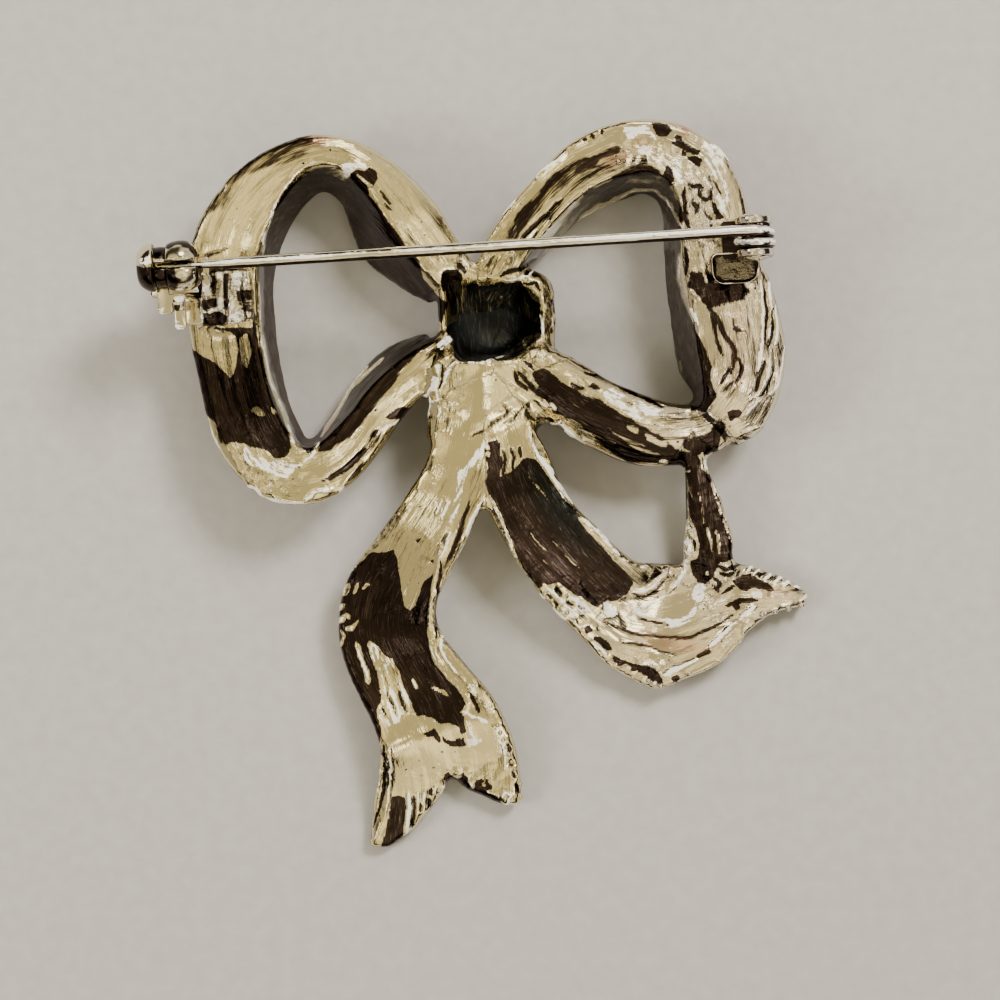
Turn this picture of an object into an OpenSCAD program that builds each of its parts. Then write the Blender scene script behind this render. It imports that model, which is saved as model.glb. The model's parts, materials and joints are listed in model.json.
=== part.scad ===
/* [Bow] */
// Width of the cast bow, from the left loop to the tip of the right tail
bow_w = 47; // [40:0.5:60]
// Height of the cast bow, from the top of the loops to the tip of the left tail
bow_h = 55; // [48:0.5:66]
// Depth of the cast bow, from its front to its highest back face
bow_depth = 7.6; // [6.5:0.1:9]
// Width of a loop's ribbon
ribbon_w = 5.3; // [4.6:0.1:6]
// Width of a tail's ribbon
tail_w = 7.4; // [6.4:0.1:8.4]
// Metal at the edge of a ribbon
ribbon_t = 1.2; // [0.9:0.05:1.5]

/* [Knot] */
// Width of the knot
knot_w = 8.8; // [8.2:0.1:9.4]
// Height of the knot
knot_h = 11.8; // [11.2:0.1:12.4]
// Width of the hollow in the back of the knot
hollow_w = 7.4; // [6.6:0.1:7.8]
// Height of the hollow in the back of the knot
hollow_h = 6.2; // [5.6:0.1:6.6]
// Metal left in front of the hollow
knot_wall = 1.5; // [1:0.1:2]

/* [Pin stem] */
// Thickness of the stem's wire
stem_d = 0.84; // [0.76:0.02:0.9]
// Thickness of the stem where it enters the catch
stem_neck_d = 0.64; // [0.56:0.02:0.66]
// Thickness of the stem's very tip
stem_tip_d = 0.24; // [0.2:0.02:0.3]
// Height of the stem's middle above the highest back face
stem_lift = 2.8; // [2.75:0.05:3.2]
// Angle of the stem across the bow
stem_turn = 3.6; // [0:0.2:5]
// Length of the tapered point
point_l = 5.4; // [5:0.1:6]
// Length of the wire's root, slightly thinned where it was bent into the coil
root_l = 1.8; // [1.7:0.05:2.2]
// Thickness of the root where it meets the coil
root_d = 0.82; // [0.74:0.02:0.88]

/* [Hinge] */
// Thickness of the rivet
rivet_d = 1.3; // [1.1:0.05:1.4]
// Thickness of the rivet's heads
rivet_head_t = 0.32; // [0.25:0.01:0.4]
// Width of the rivet's heads
rivet_head_d = 2; // [1.8:0.05:2.2]
// Sheet thickness of the hinge bracket
bracket_t = 0.5; // [0.4:0.05:0.6]
// Length of the bracket along the stem
bracket_l = 3.6; // [3.2:0.1:4]

/* [Catch] */
// Diameter of the catch's rounded cheeks
cheek_d = 3.8; // [3.6:0.1:4]
// Length of the cheek that the stem enters
front_cheek_l = 2.3; // [2:0.1:2.6]
// Length of the closed cheek
back_cheek_l = 1.25; // [1.1:0.05:1.4]
// Width of the barrel between the cheeks
barrel_l = 0.86; // [0.8:0.02:1]
// Diameter of the barrel
barrel_d = 3; // [2.8:0.05:3.1]
// Diameter of the barrel's two trunnions
trunnion_d = 1.9; // [1.8:0.05:2]
// Reach of the thumb tab's short prong, from the barrel's axis
tab_reach = 3.4; // [3:0.1:3.6]
// Reach of its long prong
prong_reach = 4.6; // [4:0.1:4.8]
// Width of each prong
prong_w = 1; // [0.8:0.05:1.1]
// Thickness of the thumb tab
tab_t = 0.5; // [0.4:0.05:0.6]

/* [Clearances] */
// Gap all round a turning fit
run_gap = 0.04; // [0.03:0.01:0.06]
// Gap beside a turning piece
side_gap = 0.05; // [0.04:0.01:0.08]

/* [Hidden] */
$fn = 48;

// Wire coil: mean radius, half the distance between its two turns, and width between the cheeks
coil_r = rivet_d / 2 + side_gap + stem_d / 2;
stem_side = stem_d * 0.46;
cheek_gap = 2 * stem_d + 4 * side_gap;
cheek_round = 2 * coil_r + 0.6 * stem_d;
stem_z = bow_depth + stem_lift;
// Top of the bracket's base under the coil, from the rivet's axis
base_top = -coil_r - stem_d / 2 - 4 * side_gap;
solder_h = 0.55;
// Ear on the bracket's base
ear_w = 3.5;
ear_h = 1.4;
ear_round = 0.8;
ear_x = -3.1;
ear_y = -2.4;

// Catch, from its barrel's middle: inner faces of the cheeks, mouth for the stem, and foot plates
gap_end = barrel_l / 2 + side_gap;
trunnion_l = 0.5;
mouth_w = stem_neck_d + 3 * run_gap;
web_w = 1.9;
// Inner edge of the thumb tab's cross piece, clear of the cheeks, and the middles of its two prongs
tab_root = cheek_d / 2 + 2 * side_gap;
short_prong_x = 0.15;
long_prong_x = short_prong_x + prong_w + 2 * side_gap;
foot_t = 0.9;
plate_top = 0.96 * bow_depth - stem_z;
FOOT_PLATES = [
    // x,    y,    long, wide, raised
    [-1.3, -1.9,  4.5,  2.8,  0.0],
    [ 1.9, -4.1,  1.3,  2.4,  0.0],
    [ 3.0, -4.4,  3.4,  4.6,  0.15],
];

// Places of the hinge, the knot, its hollow and the tails' plate from the casting's middle
hinge_x = 0.3904 * bow_w;
hinge_y = 0.3355 * bow_h;
knot_x = -0.012 * bow_w;
knot_y = 0.19 * bow_h;
hollow_x = -0.018 * bow_w;
hollow_y = 0.232 * bow_h;
plate_x = -0.037 * bow_w;
plate_y = 0.123 * bow_h;
plate_w = 0.6 * knot_w;
plate_h = 0.5 * knot_h;
plate_round = 1.1;
// Distance from the rivet's axis to the barrel's middle
reach = 0.9225 * bow_w;
// The catch hangs over the left edge, so the casting's middle lies off the origin.
overhang = reach * cos(stem_turn) + gap_end + back_cheek_l - hinge_x - bow_w / 2;
bow_x = overhang / 2;

// Columns of a ribbon's sections. Places are percent of the bow's width and height from its middle,
// heights are percent of its depth, and widths are percent of the ribbon's.
X = 0;
Y = 1;
WIDE = 2;
HIGH = 3;
TILT = 4;
CROWN = 5;
FOOT = 6;
FLARE = 7;

// Rows run from the knot round the loop. The face tilts down to the outside by TILT degrees, rises
// in its middle by CROWN percent of its width, and has a wall that spreads into the loop by FLARE
// percent of the ribbon's width on its way down to FOOT percent of the depth.
LEFT_LOOP = [
    // x,    y,   wide, high, tilt, crown, foot, flare
    [ -7.0,  28.6,  54,  74,   8,   4,  26,  30],
    [-11.7,  33.4,  70,  82,  12,   4,  14,  46],
    [-14.4,  36.6,  75,  87,  14,   4,  10,  54],
    [-18.9,  41.6,  56,  90,  14,   4,   8,  50],
    [-24.0,  44.7,  45,  92,  12,   4,   6,  36],
    [-29.8,  45.6,  44,  92,   8,   3,   5,  26],
    [-34.9,  43.5,  60,  92,   6,   0,   4,  20],
    [-39.6,  39.6,  81,  92,   8,  -3,   2,  17],
    [-43.0,  34.8,  95,  92,  11,  -4,   0,  16],
    [-44.5,  29.3,  99,  91,  12,  -4,   0,  16],
    [-44.4,  22.6, 100,  90,  13,  -4,   0,  16],
    [-43.2,  16.0,  97,  90,  14,  -5,   0,  16],
    [-41.6,  10.3,  97,  90,  14,  -5,   0,  16],
    [-39.3,   6.0,  96,  90,  12,  -4,   2,  16],
    [-35.7,   2.6,  88,  90,   8,  -3,   6,  14],
    [-31.0,   1.6,  78,  90,   6,   0,  10,  14],
    [-26.4,   3.5,  70,  88,   8,   3,  12,  20],
    [-22.2,   7.3,  63,  84,  10,   5,  14,  30],
    [-18.5,  11.6,  59,  80,  10,   5,  18,  34],
    [-14.6,  15.0,  56,  78,   8,   4,  24,  34],
    [ -9.6,  17.6,  50,  74,   4,   2,  30,  24],
];
RIGHT_LOOP = [
    // x,    y,   wide, high, tilt, crown, foot, flare
    [ -1.4,  29.0,  56,  72,   6, -10,  30,  10],
    [  0.4,  32.6,  60,  80,   8, -16,  20,  14],
    [  3.5,  36.1,  62,  88,   8, -20,  12,  18],
    [  7.8,  40.2,  64,  92,   8, -20,   8,  20],
    [ 12.0,  43.3,  71,  94,   8, -19,   5,  22],
    [ 16.9,  45.3,  75,  95,   8, -16,   3,  22],
    [ 21.9,  46.2,  76,  95,   8, -12,   1,  20],
    [ 26.7,  45.4,  79,  95,   8,  -9,   0,  18],
    [ 30.5,  42.9,  88,  95,  10,  -6,   0,  16],
    [ 32.6,  39.1,  94,  95,  10,  -3,   0,  16],
    [ 33.5,  34.4, 101,  95,   8,   0,   0,  18],
    [ 34.6,  29.6, 111,  94,   6,   3,   0,  22],
    [ 36.3,  24.6, 121,  93,   8,   5,   0,  24],
    [ 37.6,  19.6, 125,  92,  12,   6,   0,  26],
    [ 37.9,  14.9, 117,  90,  16,   7,   2,  24],
    [ 36.6,  11.0, 102,  84,  18,   8,   6,  14],
    [ 33.9,   8.4,  78,  78,  16,   8,  14,   8],
];
LOWER_BAND = [
    // x,    y,   wide, high, tilt, crown, foot, flare
    [ 35.2,   9.4,  66,  70,  10,  12,  20,   4],
    [ 30.5,   7.7,  76,  74,  12,  16,  18,   4],
    [ 22.4,   7.7,  96,  80,  12,  20,  16,   4],
    [ 13.9,  10.9,  94,  86,  10,  21,  14,   4],
    [  8.4,  13.9,  90,  90,   8,  20,  16,   4],
    [  4.4,  16.2,  72,  90,   4,  18,  22,   4],
    [  1.9,  17.9,  52,  84,   0,  16,  30,   4],
];

// The tails have no wall, so their FOOT is the front of the metal at the middle.
LEFT_TAIL = [
    // x,    y,   wide, high, tilt, crown, foot, flare
    [ -4.0,  12.6,  64,  84,   0,   6,  40,   0],
    [ -5.6,   6.4,  68,  88,   0,   6,  42,   0],
    [ -7.6,   1.2,  70,  86,   2,   4,  46,   0],
    [-10.9,  -3.9,  74,  80,   4,   2,  44,   0],
    [-14.9,  -9.6,  84,  68,   6,  -2,  36,   0],
    [-17.9, -14.2,  96,  56,   8,  -5,  26,   0],
    [-18.7, -18.8, 102,  47,   9,  -6,  18,   0],
    [-17.1, -23.4, 104,  45,   8,  -6,  18,   0],
    [-13.4, -28.3, 114,  51,   3,  -5,  24,   0],
    [-10.2, -33.2, 130,  50,  -2,  -4,  22,   0],
    [ -8.8, -38.5, 144,  36,  -3,  -4,   9,   0],
    [ -9.0, -44.0, 152,  24,  -2,  -3,   1,   0],
    [ -9.4, -50.0, 158,  19,   0,  -3,   0,   0],
];
RIGHT_TAIL = [
    // x,    y,   wide, high, tilt, crown, foot, flare
    [ -1.2,   8.6,  62,  82,   0,   4,  42,   0],
    [  1.6,   2.6,  76,  84,   0,   2,  46,   0],
    [  4.9,  -3.9,  77,  76,   2,  -3,  40,   0],
    [ 10.8, -10.2,  88,  62,   4,  -6,  26,   0],
    [ 17.1, -15.2,  97,  46,   5,  -8,  12,   0],
    [ 24.1, -18.0, 120,  33,   3, -10,   1,   0],
    [ 30.6, -17.8, 108,  32,  -3,  -9,   2,   0],
    [ 36.7, -15.2,  80,  36,  -8,  -6,  10,   0],
    [ 43.6, -14.4,  42,  28,  -6,  -2,   8,   0],
    [ 49.3, -15.2,  14,  21,   0,   0,   1,   0],
];
STRUT = [
    // x,    y,   wide, high, tilt, crown, foot, flare
    [ 30.0,   7.4,  20,  66,   0,   6,  34,   0],
    [ 30.7,   2.6,  21,  58,   0,   6,  28,   0],
    [ 31.3,  -2.4,  27,  50,   4,   6,  22,   0],
    [ 32.4,  -7.0,  42,  42,   8,   4,  16,   0],
    [ 33.2, -12.0,  54,  34,   8,   2,   8,   0],
];
// Outline of the knot's hollow, in percent of its width and height from its middle
HOLLOW = [[-50, 52], [-24, 52], [8, 42], [30, 44], [50, 16], [50, -22], [34, -22], [20, -50], [-32, -54],
    [-40, -40], [-50, 0]];
// Corners of the tails' plate: percent of its width, of its height, and of the bow's depth
PLATE = [[-50, 42, 88], [44, 46, 88], [50, -10, 86], [0, 40, 96], [-4, -20, 95], [-56, -50, 84], [4, -56, 84]];
// Outline of the fork cut into the left tail, in percent of the bow's width and height
FORK = [[-19.0, -49.7], [-14.9, -47.2], [-10.6, -42.8], [-8.6, -39.4], [-6.2, -41.4], [0.2, -43.6],
    [8, -44], [8, -60], [-30, -60], [-30, -49.7]];

// Sections between two rows of a table, and the points across a ribbon's back and front
ROW_STEPS = 4;
ACROSS = 6;
WALL_STEPS = 2;

// Value of one column, on a smooth curve through the rows around row k, at t from 0 to 1
function smooth(a, b, c, d, t) =
    0.5 * (2 * b + (c - a) * t + (2 * a - 5 * b + 4 * c - d) * t * t
        + (3 * b - a - 3 * c + d) * t * t * t);
function row_at(table, k, t) =
    let (last = len(table) - 1,
        a = table[max(k - 1, 0)], b = table[k],
        c = table[min(k + 1, last)], d = table[min(k + 2, last)])
    [for (i = [0:len(b) - 1]) smooth(a[i], b[i], c[i], d[i], t)];
function sections(table) =
    [for (k = [0:len(table) - 2], s = [0:ROW_STEPS - 1]) row_at(table, k, s / ROW_STEPS),
        table[len(table) - 1]];

// Place and direction of a section on the plan
function plan(row) = [bow_w * row[X] / 100, bow_h * row[Y] / 100];
function heading(rows, i) =
    let (ahead = plan(rows[min(i + 1, len(rows) - 1)]), behind = plan(rows[max(i - 1, 0)]))
    (ahead - behind) / norm(ahead - behind);

// Closed outline of a section: distance towards the inside of the loop, and height
function outline(row, width) =
    let (w = width * row[WIDE] / 100, high = bow_depth * row[HIGH] / 100,
        foot = bow_depth * max(row[FOOT], 0) / 100, crown = w * row[CROWN] / 100,
        flare = ribbon_w * row[FLARE] / 100, slope = tan(row[TILT]),
        back = [for (k = [0:ACROSS]) let (s = 2 * k / ACROSS - 1)
            [s * w / 2, high + slope * s * w / 2 + crown * (1 - s * s) - max(crown, 0)]],
        brink = back[ACROSS], rim = back[0],
        toe = [w / 2 + flare, min(foot + ribbon_t * 0.4, brink[1] - ribbon_t * 0.7)],
        heel = [w / 2 + flare - ribbon_t * 0.5, foot],
        wall = [for (k = [1:WALL_STEPS - 1]) brink + (toe - brink) * k / WALL_STEPS],
        start = [min(flare, w / 4), foot],
        end = rim - [0, ribbon_t],
        pull = [-w * 0.38, (start[1] + end[1]) * 0.5 - (end[1] - start[1]) * 0.35],
        front = [for (k = [0:ACROSS - 1]) let (t = k / (ACROSS - 1))
            start * (1 - t) * (1 - t) + pull * 2 * t * (1 - t) + end * t * t])
    concat(back, wall, [toe, heel], front);

// One ribbon: its sections are joined into a closed skin, with inside = 1 where the loop's inside
// lies to the left of the way that the rows run, and -1 where it lies to the right
module ribbon(table, width, inside) {
    rows = sections(table);
    rings = [for (i = [0:len(rows) - 1])
        let (way = heading(rows, i), side = inside * [-way[1], way[0]], at = plan(rows[i]))
        [for (p = outline(rows[i], width)) [at[0] + side[0] * p[0], at[1] + side[1] * p[0], p[1]]]];
    n = len(rings[0]);
    m = len(rings);
    quads = [for (i = [0:m - 2], j = [0:n - 1])
        [i * n + j, i * n + (j + 1) % n, (i + 1) * n + (j + 1) % n, (i + 1) * n + j]];
    skin = [for (q = quads) each [[q[0], q[1], q[2]], [q[0], q[2], q[3]]]];
    caps = [[for (j = [n - 1:-1:0]) j], [for (j = [0:n - 1]) (m - 1) * n + j]];
    faces = concat(skin, caps);
    turned = [for (f = faces) [for (k = [len(f) - 1:-1:0]) f[k]]];
    polyhedron([for (r = rings) each r], inside > 0 ? faces : turned);
}

// Knot: a rounded shell whose hollow is deep at its lower end and slopes up to the loops, with a
// softly domed plate below it where the tails begin
module knot_form() {
    round = knot_w * 0.2;
    hull() {
        for (sx = [-1, 1], sy = [-1, 1])
            translate([sx * (knot_w / 2 - round), sy * (knot_h / 2 - round), bow_depth * 0.56])
                sphere(round, $fn = 24);
        translate([0, 0, bow_depth * 0.36])
            scale([knot_w * 0.44, knot_h * 0.44, bow_depth * 0.36])
                sphere(1, $fn = 36);
    }
}
module knot_hollow() {
    translate([hollow_x, hollow_y, 0])
        hull() {
            translate([0, 0, bow_depth * 0.72])
                linear_extrude(bow_depth)
                    polygon([for (p = HOLLOW) [hollow_w * p[0] / 100, hollow_h * p[1] / 100]]);
            translate([0, -hollow_h * 0.2, knot_wall + hollow_w * 0.2])
                scale([1.5, 1, 1])
                    sphere(hollow_w * 0.2, $fn = 20);
        }
}
module tail_plate() {
    translate([plate_x, plate_y, 0])
        hull()
            for (p = PLATE)
                translate([plate_w * p[0] / 100, plate_h * p[1] / 100, bow_depth * p[2] / 100 - plate_round])
                    sphere(plate_round, $fn = 20);
}
module fork_cut() {
    translate([0, 0, -1])
        linear_extrude(bow_depth + 2)
            polygon([for (p = FORK) [bow_w * p[0] / 100, bow_h * p[1] / 100]]);
}

// The cast bow, brought to its overall sizes
module casting() {
    translate([bow_x, 0, 0])
        resize([bow_w, bow_h, bow_depth])
            difference() {
                union() {
                    ribbon(LEFT_LOOP, ribbon_w, 1);
                    ribbon(RIGHT_LOOP, ribbon_w, -1);
                    ribbon(LOWER_BAND, ribbon_w, -1);
                    ribbon(LEFT_TAIL, tail_w, 1);
                    ribbon(RIGHT_TAIL, tail_w, 1);
                    ribbon(STRUT, tail_w, 1);
                    translate([knot_x, knot_y, 0])
                        knot_form();
                    tail_plate();
                }
                knot_hollow();
                fork_cut();
            }
}

// Local frames: x runs along the stem towards the hinge, and z is up. The hinge's is on the
// rivet's axis, in the middle of the coil, and the catch's is on the barrel's axis.
module at_hinge() {
    translate([bow_x + hinge_x, hinge_y, stem_z - coil_r])
        rotate([0, 0, stem_turn])
            children();
}
module at_catch() {
    at_hinge()
        translate([-reach, stem_side, coil_r])
            children();
}
// A cylinder along the local y axis from y0 to y1, and one along x from x0 to x1
module along_y(d, y0, y1) {
    translate([0, y1, 0])
        rotate([90, 0, 0])
            cylinder(d = d, h = y1 - y0);
}
module along_x(d, x0, x1) {
    translate([x0, 0, 0])
        rotate([0, 90, 0])
            cylinder(d = d, h = x1 - x0);
}

// Hinge bracket: a base with two round cheeks and an ear on the near side, on a foot of solder
module hinge_bracket() {
    at_hinge()
        difference() {
            union() {
                for (side = [-1, 1]) {
                    outer = cheek_gap / 2 + bracket_t;
                    y0 = side > 0 ? cheek_gap / 2 : -outer;
                    along_y(cheek_round, y0, y0 + bracket_t);
                    translate([-cheek_round / 2, y0, base_top])
                        cube([cheek_round, bracket_t, -base_top]);
                }
                translate([-bracket_l + cheek_round / 2, -cheek_gap / 2 - bracket_t, base_top - bracket_t])
                    cube([bracket_l, cheek_gap + 2 * bracket_t, bracket_t]);
                translate([ear_x, ear_y, base_top - bracket_t]) {
                    cube([ear_w, ear_h, bracket_t]);
                    translate([ear_round, -ear_round, 0])
                        cube([ear_w - 2 * ear_round, ear_round, bracket_t]);
                    for (x = [ear_round, ear_w - ear_round])
                        translate([x, 0, 0])
                            cylinder(r = ear_round, h = bracket_t);
                }
                translate([-bracket_l + cheek_round / 2 + 0.5, -cheek_gap / 2, base_top - bracket_t - solder_h])
                    cube([bracket_l - 1, cheek_gap, solder_h + bracket_t / 2]);
            }
            along_y(rivet_d + 2 * run_gap, -bracket_l, bracket_l);
        }
}

// Catch housing: two domed cheeks on a foot plate that is soldered to the left loop
module catch_housing() {
    at_catch()
        difference() {
            union() {
                intersection() {
                    translate([gap_end + front_cheek_l * 0.42, 0, 0])
                        sphere(d = cheek_d);
                    translate([gap_end, -cheek_d, -cheek_d])
                        cube([front_cheek_l, 2 * cheek_d, 2 * cheek_d]);
                }
                intersection() {
                    translate([-gap_end, 0, 0])
                        sphere(d = cheek_d * 0.94);
                    translate([-gap_end - back_cheek_l, -cheek_d, -cheek_d])
                        cube([back_cheek_l, 2 * cheek_d, 2 * cheek_d]);
                }
                difference() {
                    translate([-gap_end - back_cheek_l * 0.8, -web_w / 2, plate_top - foot_t / 2])
                        cube([2 * gap_end + back_cheek_l * 0.8 + front_cheek_l * 0.9, web_w,
                            -plate_top + foot_t / 2 - trunnion_d / 2]);
                    along_x(barrel_d + 6 * side_gap, -gap_end, gap_end);
                }
                for (p = FOOT_PLATES)
                    translate([p[0], p[1], plate_top - foot_t + p[4]])
                        cube([p[2], p[3], foot_t]);
            }
            along_x(trunnion_d + 2 * run_gap, -gap_end - trunnion_l - side_gap, gap_end + trunnion_l + side_gap);
            along_x(mouth_w, 0, gap_end + 2 * front_cheek_l);
            translate([0, -mouth_w / 2, 0])
                cube([gap_end + 2 * front_cheek_l, mouth_w, cheek_d]);
            translate([gap_end + front_cheek_l + cheek_d * 0.24, 0, 0])
                sphere(d = cheek_d * 0.66);
        }
}

module bow() {
    color([0.80, 0.77, 0.70]) {
        casting();
        hinge_bracket();
        catch_housing();
    }
}

module hinge_rivet() {
    head = cheek_gap / 2 + bracket_t + side_gap / 2;
    color([0.72, 0.69, 0.62])
        at_hinge() {
            along_y(rivet_d, -head - rivet_head_t, head + rivet_head_t);
            for (y0 = [-head - rivet_head_t, head])
                along_y(rivet_head_d, y0, y0 + rivet_head_t);
        }
}

// The stem's wire: two closed turns round the rivet, the straight shaft, and the tapered point
module pin_stem() {
    entry = gap_end + front_cheek_l - reach;
    tip = -reach - barrel_l / 2 + 2 * side_gap;
    color([0.84, 0.81, 0.74])
        at_hinge() {
            for (side = [-1, 1])
                translate([0, side * stem_side, 0])
                    rotate([90, 0, 0])
                        rotate_extrude()
                            translate([coil_r, 0])
                                circle(d = stem_d);
            translate([0, stem_side, coil_r]) {
                along_x(stem_d, tip + point_l, -root_l);
                translate([-root_l, 0, 0])
                    rotate([0, 90, 0])
                        cylinder(d1 = stem_d, d2 = root_d, h = root_l + 2 * side_gap);
                translate([entry, 0, 0])
                    rotate([0, 90, 0])
                        cylinder(d1 = stem_neck_d, d2 = stem_d, h = tip + point_l - entry);
                translate([tip, 0, 0])
                    rotate([0, 90, 0])
                        cylinder(d1 = stem_tip_d, d2 = stem_neck_d, h = entry - tip);
            }
        }
}

// The catch's barrel, with its slot upwards and its thumb tab to the near side
module catch_barrel() {
    color([0.76, 0.73, 0.66])
        at_catch()
            difference() {
                union() {
                    along_x(barrel_d, -barrel_l / 2, barrel_l / 2);
                    along_x(trunnion_d, -barrel_l / 2 - trunnion_l, barrel_l / 2 + trunnion_l);
                    translate([-barrel_l / 2, -tab_reach * 0.75, -tab_t * 1.1])
                        cube([barrel_l, tab_reach * 0.75 - trunnion_d / 4, tab_t]);
                    for (prong = [[short_prong_x, tab_reach], [long_prong_x, prong_reach]])
                        translate([prong[0], -prong[1] + prong_w / 2, -tab_t * 1.1]) {
                            cylinder(d = prong_w, h = tab_t);
                            translate([-prong_w / 2, 0, 0])
                                cube([prong_w, prong[1] - prong_w / 2 - tab_root, tab_t]);
                        }
                    translate([short_prong_x, -tab_root - 0.6 * prong_w, -tab_t * 1.1])
                        cube([long_prong_x - short_prong_x, 0.6 * prong_w, tab_t]);
                }
                along_x(mouth_w, -barrel_l / 2, barrel_l);
                translate([-barrel_l / 2, -mouth_w / 2, 0])
                    cube([2 * barrel_l, mouth_w, barrel_d]);
            }
}

bow();
hinge_rivet();
pin_stem();
catch_barrel();
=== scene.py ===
# %% [markdown]
# # A ribbon bow brooch, seen from the back
#
# The brooch is one polished casting in the shape of a ribbon bow. It lies on its front, so the
# back shows: two loops that stand on edge, a hollow knot, two tails, and the pin that holds it to
# cloth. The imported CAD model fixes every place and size. This script only dresses it.

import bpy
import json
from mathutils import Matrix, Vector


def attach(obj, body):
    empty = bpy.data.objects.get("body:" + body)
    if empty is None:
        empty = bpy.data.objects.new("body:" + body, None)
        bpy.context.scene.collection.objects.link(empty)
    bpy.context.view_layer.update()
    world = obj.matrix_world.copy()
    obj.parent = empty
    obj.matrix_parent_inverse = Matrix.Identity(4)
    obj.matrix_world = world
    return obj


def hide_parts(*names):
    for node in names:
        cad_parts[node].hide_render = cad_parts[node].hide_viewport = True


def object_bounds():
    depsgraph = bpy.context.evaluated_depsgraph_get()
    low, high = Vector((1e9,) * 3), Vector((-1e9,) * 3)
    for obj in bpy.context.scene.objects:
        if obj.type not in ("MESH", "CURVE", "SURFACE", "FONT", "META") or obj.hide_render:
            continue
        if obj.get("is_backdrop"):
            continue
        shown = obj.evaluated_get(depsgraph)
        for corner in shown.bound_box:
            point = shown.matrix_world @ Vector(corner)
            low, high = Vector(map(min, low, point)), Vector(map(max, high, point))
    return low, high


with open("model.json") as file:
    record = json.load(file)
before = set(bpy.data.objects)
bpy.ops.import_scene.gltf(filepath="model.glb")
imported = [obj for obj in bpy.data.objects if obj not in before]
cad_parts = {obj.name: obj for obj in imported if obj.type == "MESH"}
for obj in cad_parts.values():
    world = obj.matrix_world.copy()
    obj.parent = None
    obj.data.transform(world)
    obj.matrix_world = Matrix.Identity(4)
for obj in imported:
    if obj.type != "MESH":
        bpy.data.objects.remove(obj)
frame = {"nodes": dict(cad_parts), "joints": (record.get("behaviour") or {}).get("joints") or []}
cad_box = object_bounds()
print("CAD box in mm:", [[round(1000 * v, 2) for v in corner] for corner in cad_box])

# %% [markdown]
# ## Units and places
#
# Jewellery is easiest to think of in millimetres, so every mesh here is made in millimetres and
# shrunk to metres at the very end. The two turning joints give the places of the hinge and of the
# catch, so nothing has to be measured again.

# %% Units and places
import json
import math

import bmesh
import bpy
import numpy as np
from mathutils import Matrix, Vector, noise
from mathutils.bvhtree import BVHTree

MM = 0.001
scene = bpy.context.scene
joints = {joint["name"]: joint for joint in frame["joints"]}


def place_of(joint):
    """Local frame at a joint: x along the stem towards the hinge, z up, in millimetres."""
    turn = math.atan2(-joints["pin_hinge"]["axis"][0], joints["pin_hinge"]["axis"][1])
    return Matrix.Translation(Vector(joints[joint]["pos_m"]) / MM) @ Matrix.Rotation(turn, 4, "Z")


HINGE = place_of("pin_hinge")
CATCH = place_of("catch_roll")
print("hinge", HINGE.translation[:], "catch", CATCH.translation[:])

# %% [markdown]
# ## Node trees in one line
#
# A material is a tree of nodes. This helper adds a node, sets what it is, and joins or fills its
# sockets, so that a whole finish reads like a recipe.


# %% Helper for nodes
def node(tree, kind, sockets=None, **settings):
    """Adds a node. Its sockets take a value, or the output that they are joined to."""
    made = tree.nodes.new("ShaderNode" + kind)
    for key, value in settings.items():
        setattr(made, key, value)
    for key, value in (sockets or {}).items():
        if isinstance(value, bpy.types.NodeSocket):
            tree.links.new(value, made.inputs[key])
        else:
            made.inputs[key].default_value = value
    return made


# %% [markdown]
# ## Camera
#
# The photograph looks straight down from about 20 cm, so near parts grow a little. The camera
# stands there over the same point, and sees the same width at the height of the casting's back.

# %% Camera
CAMERA_XY = (1.29, -0.82)
CAMERA_Z = 200
SEEN_WIDTH = 74.1
SEEN_Z = 7
camera = bpy.data.objects.new("camera", bpy.data.cameras.new("camera"))
camera.data.angle = 2 * math.atan(SEEN_WIDTH / 2 / (CAMERA_Z - SEEN_Z))
camera.data.clip_start = 0.005
camera.location = (CAMERA_XY[0] * MM, CAMERA_XY[1] * MM, CAMERA_Z * MM)
scene.collection.objects.link(camera)
scene.camera = camera
print("camera angle", round(math.degrees(camera.data.angle), 2))

# %% [markdown]
# ## The room that the metal mirrors
#
# Polished metal has hardly a colour of its own: it shows the room. So the studio is drawn in the
# world as soft round panels on a dim warm sky, each with a direction, a size and a strength.
# Directions are turned to a dot product, and a smooth step makes the panel's soft edge. The two
# lamps only light the floor, the solder and the painted white highlights: the metal doesn't mirror them.

# %% Studio
PANELS = [
    # azimuth, elevation, half angle, soft edge, strength, colour
    (0, 90, 24, 20, 0.60, (1.0, 0.87, 0.52)),
    (138, 52, 18, 10, 0.74, (1.0, 0.87, 0.55)),
    (38, 52, 12, 8, 0.48, (1.0, 0.87, 0.57)),
    (278, 38, 18, 9, 0.94, (1.0, 0.89, 0.60)),
    (216, 42, 10, 7, 0.52, (1.0, 0.87, 0.57)),
    (2, 52, 12, 8, 0.72, (1.0, 0.89, 0.66)),
    (312, 46, 14, 8, 0.62, (1.0, 0.89, 0.66)),
    (66, 55, 4, 3, 4.5, (1.0, 0.95, 0.82)),
    (84, 38, 6, 5, 5.0, (1.0, 0.95, 0.82)),
    (160, 40, 5, 4, 3.5, (1.0, 0.94, 0.80)),
    (205, 63, 3, 3, 3.0, (1.0, 0.94, 0.80)),
    (244, 36, 4, 4, 3.0, (1.0, 0.93, 0.80)),
    (325, 52, 5, 4, 4.5, (1.0, 0.95, 0.84)),
    (350, 72, 2.5, 2.5, 3.5, (1.0, 0.95, 0.84)),
    (60, 15, 24, 12, 0.7, (1.0, 0.92, 0.76)),
    (190, 12, 18, 12, 0.4, (1.0, 0.92, 0.78)),
]
SKY = (0.030, 0.025, 0.022)
LAMP_TINT = (1.0, 0.95, 0.87)
world = bpy.data.worlds.new("studio")
world.use_nodes = True
scene.world = world
tree = world.node_tree
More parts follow.
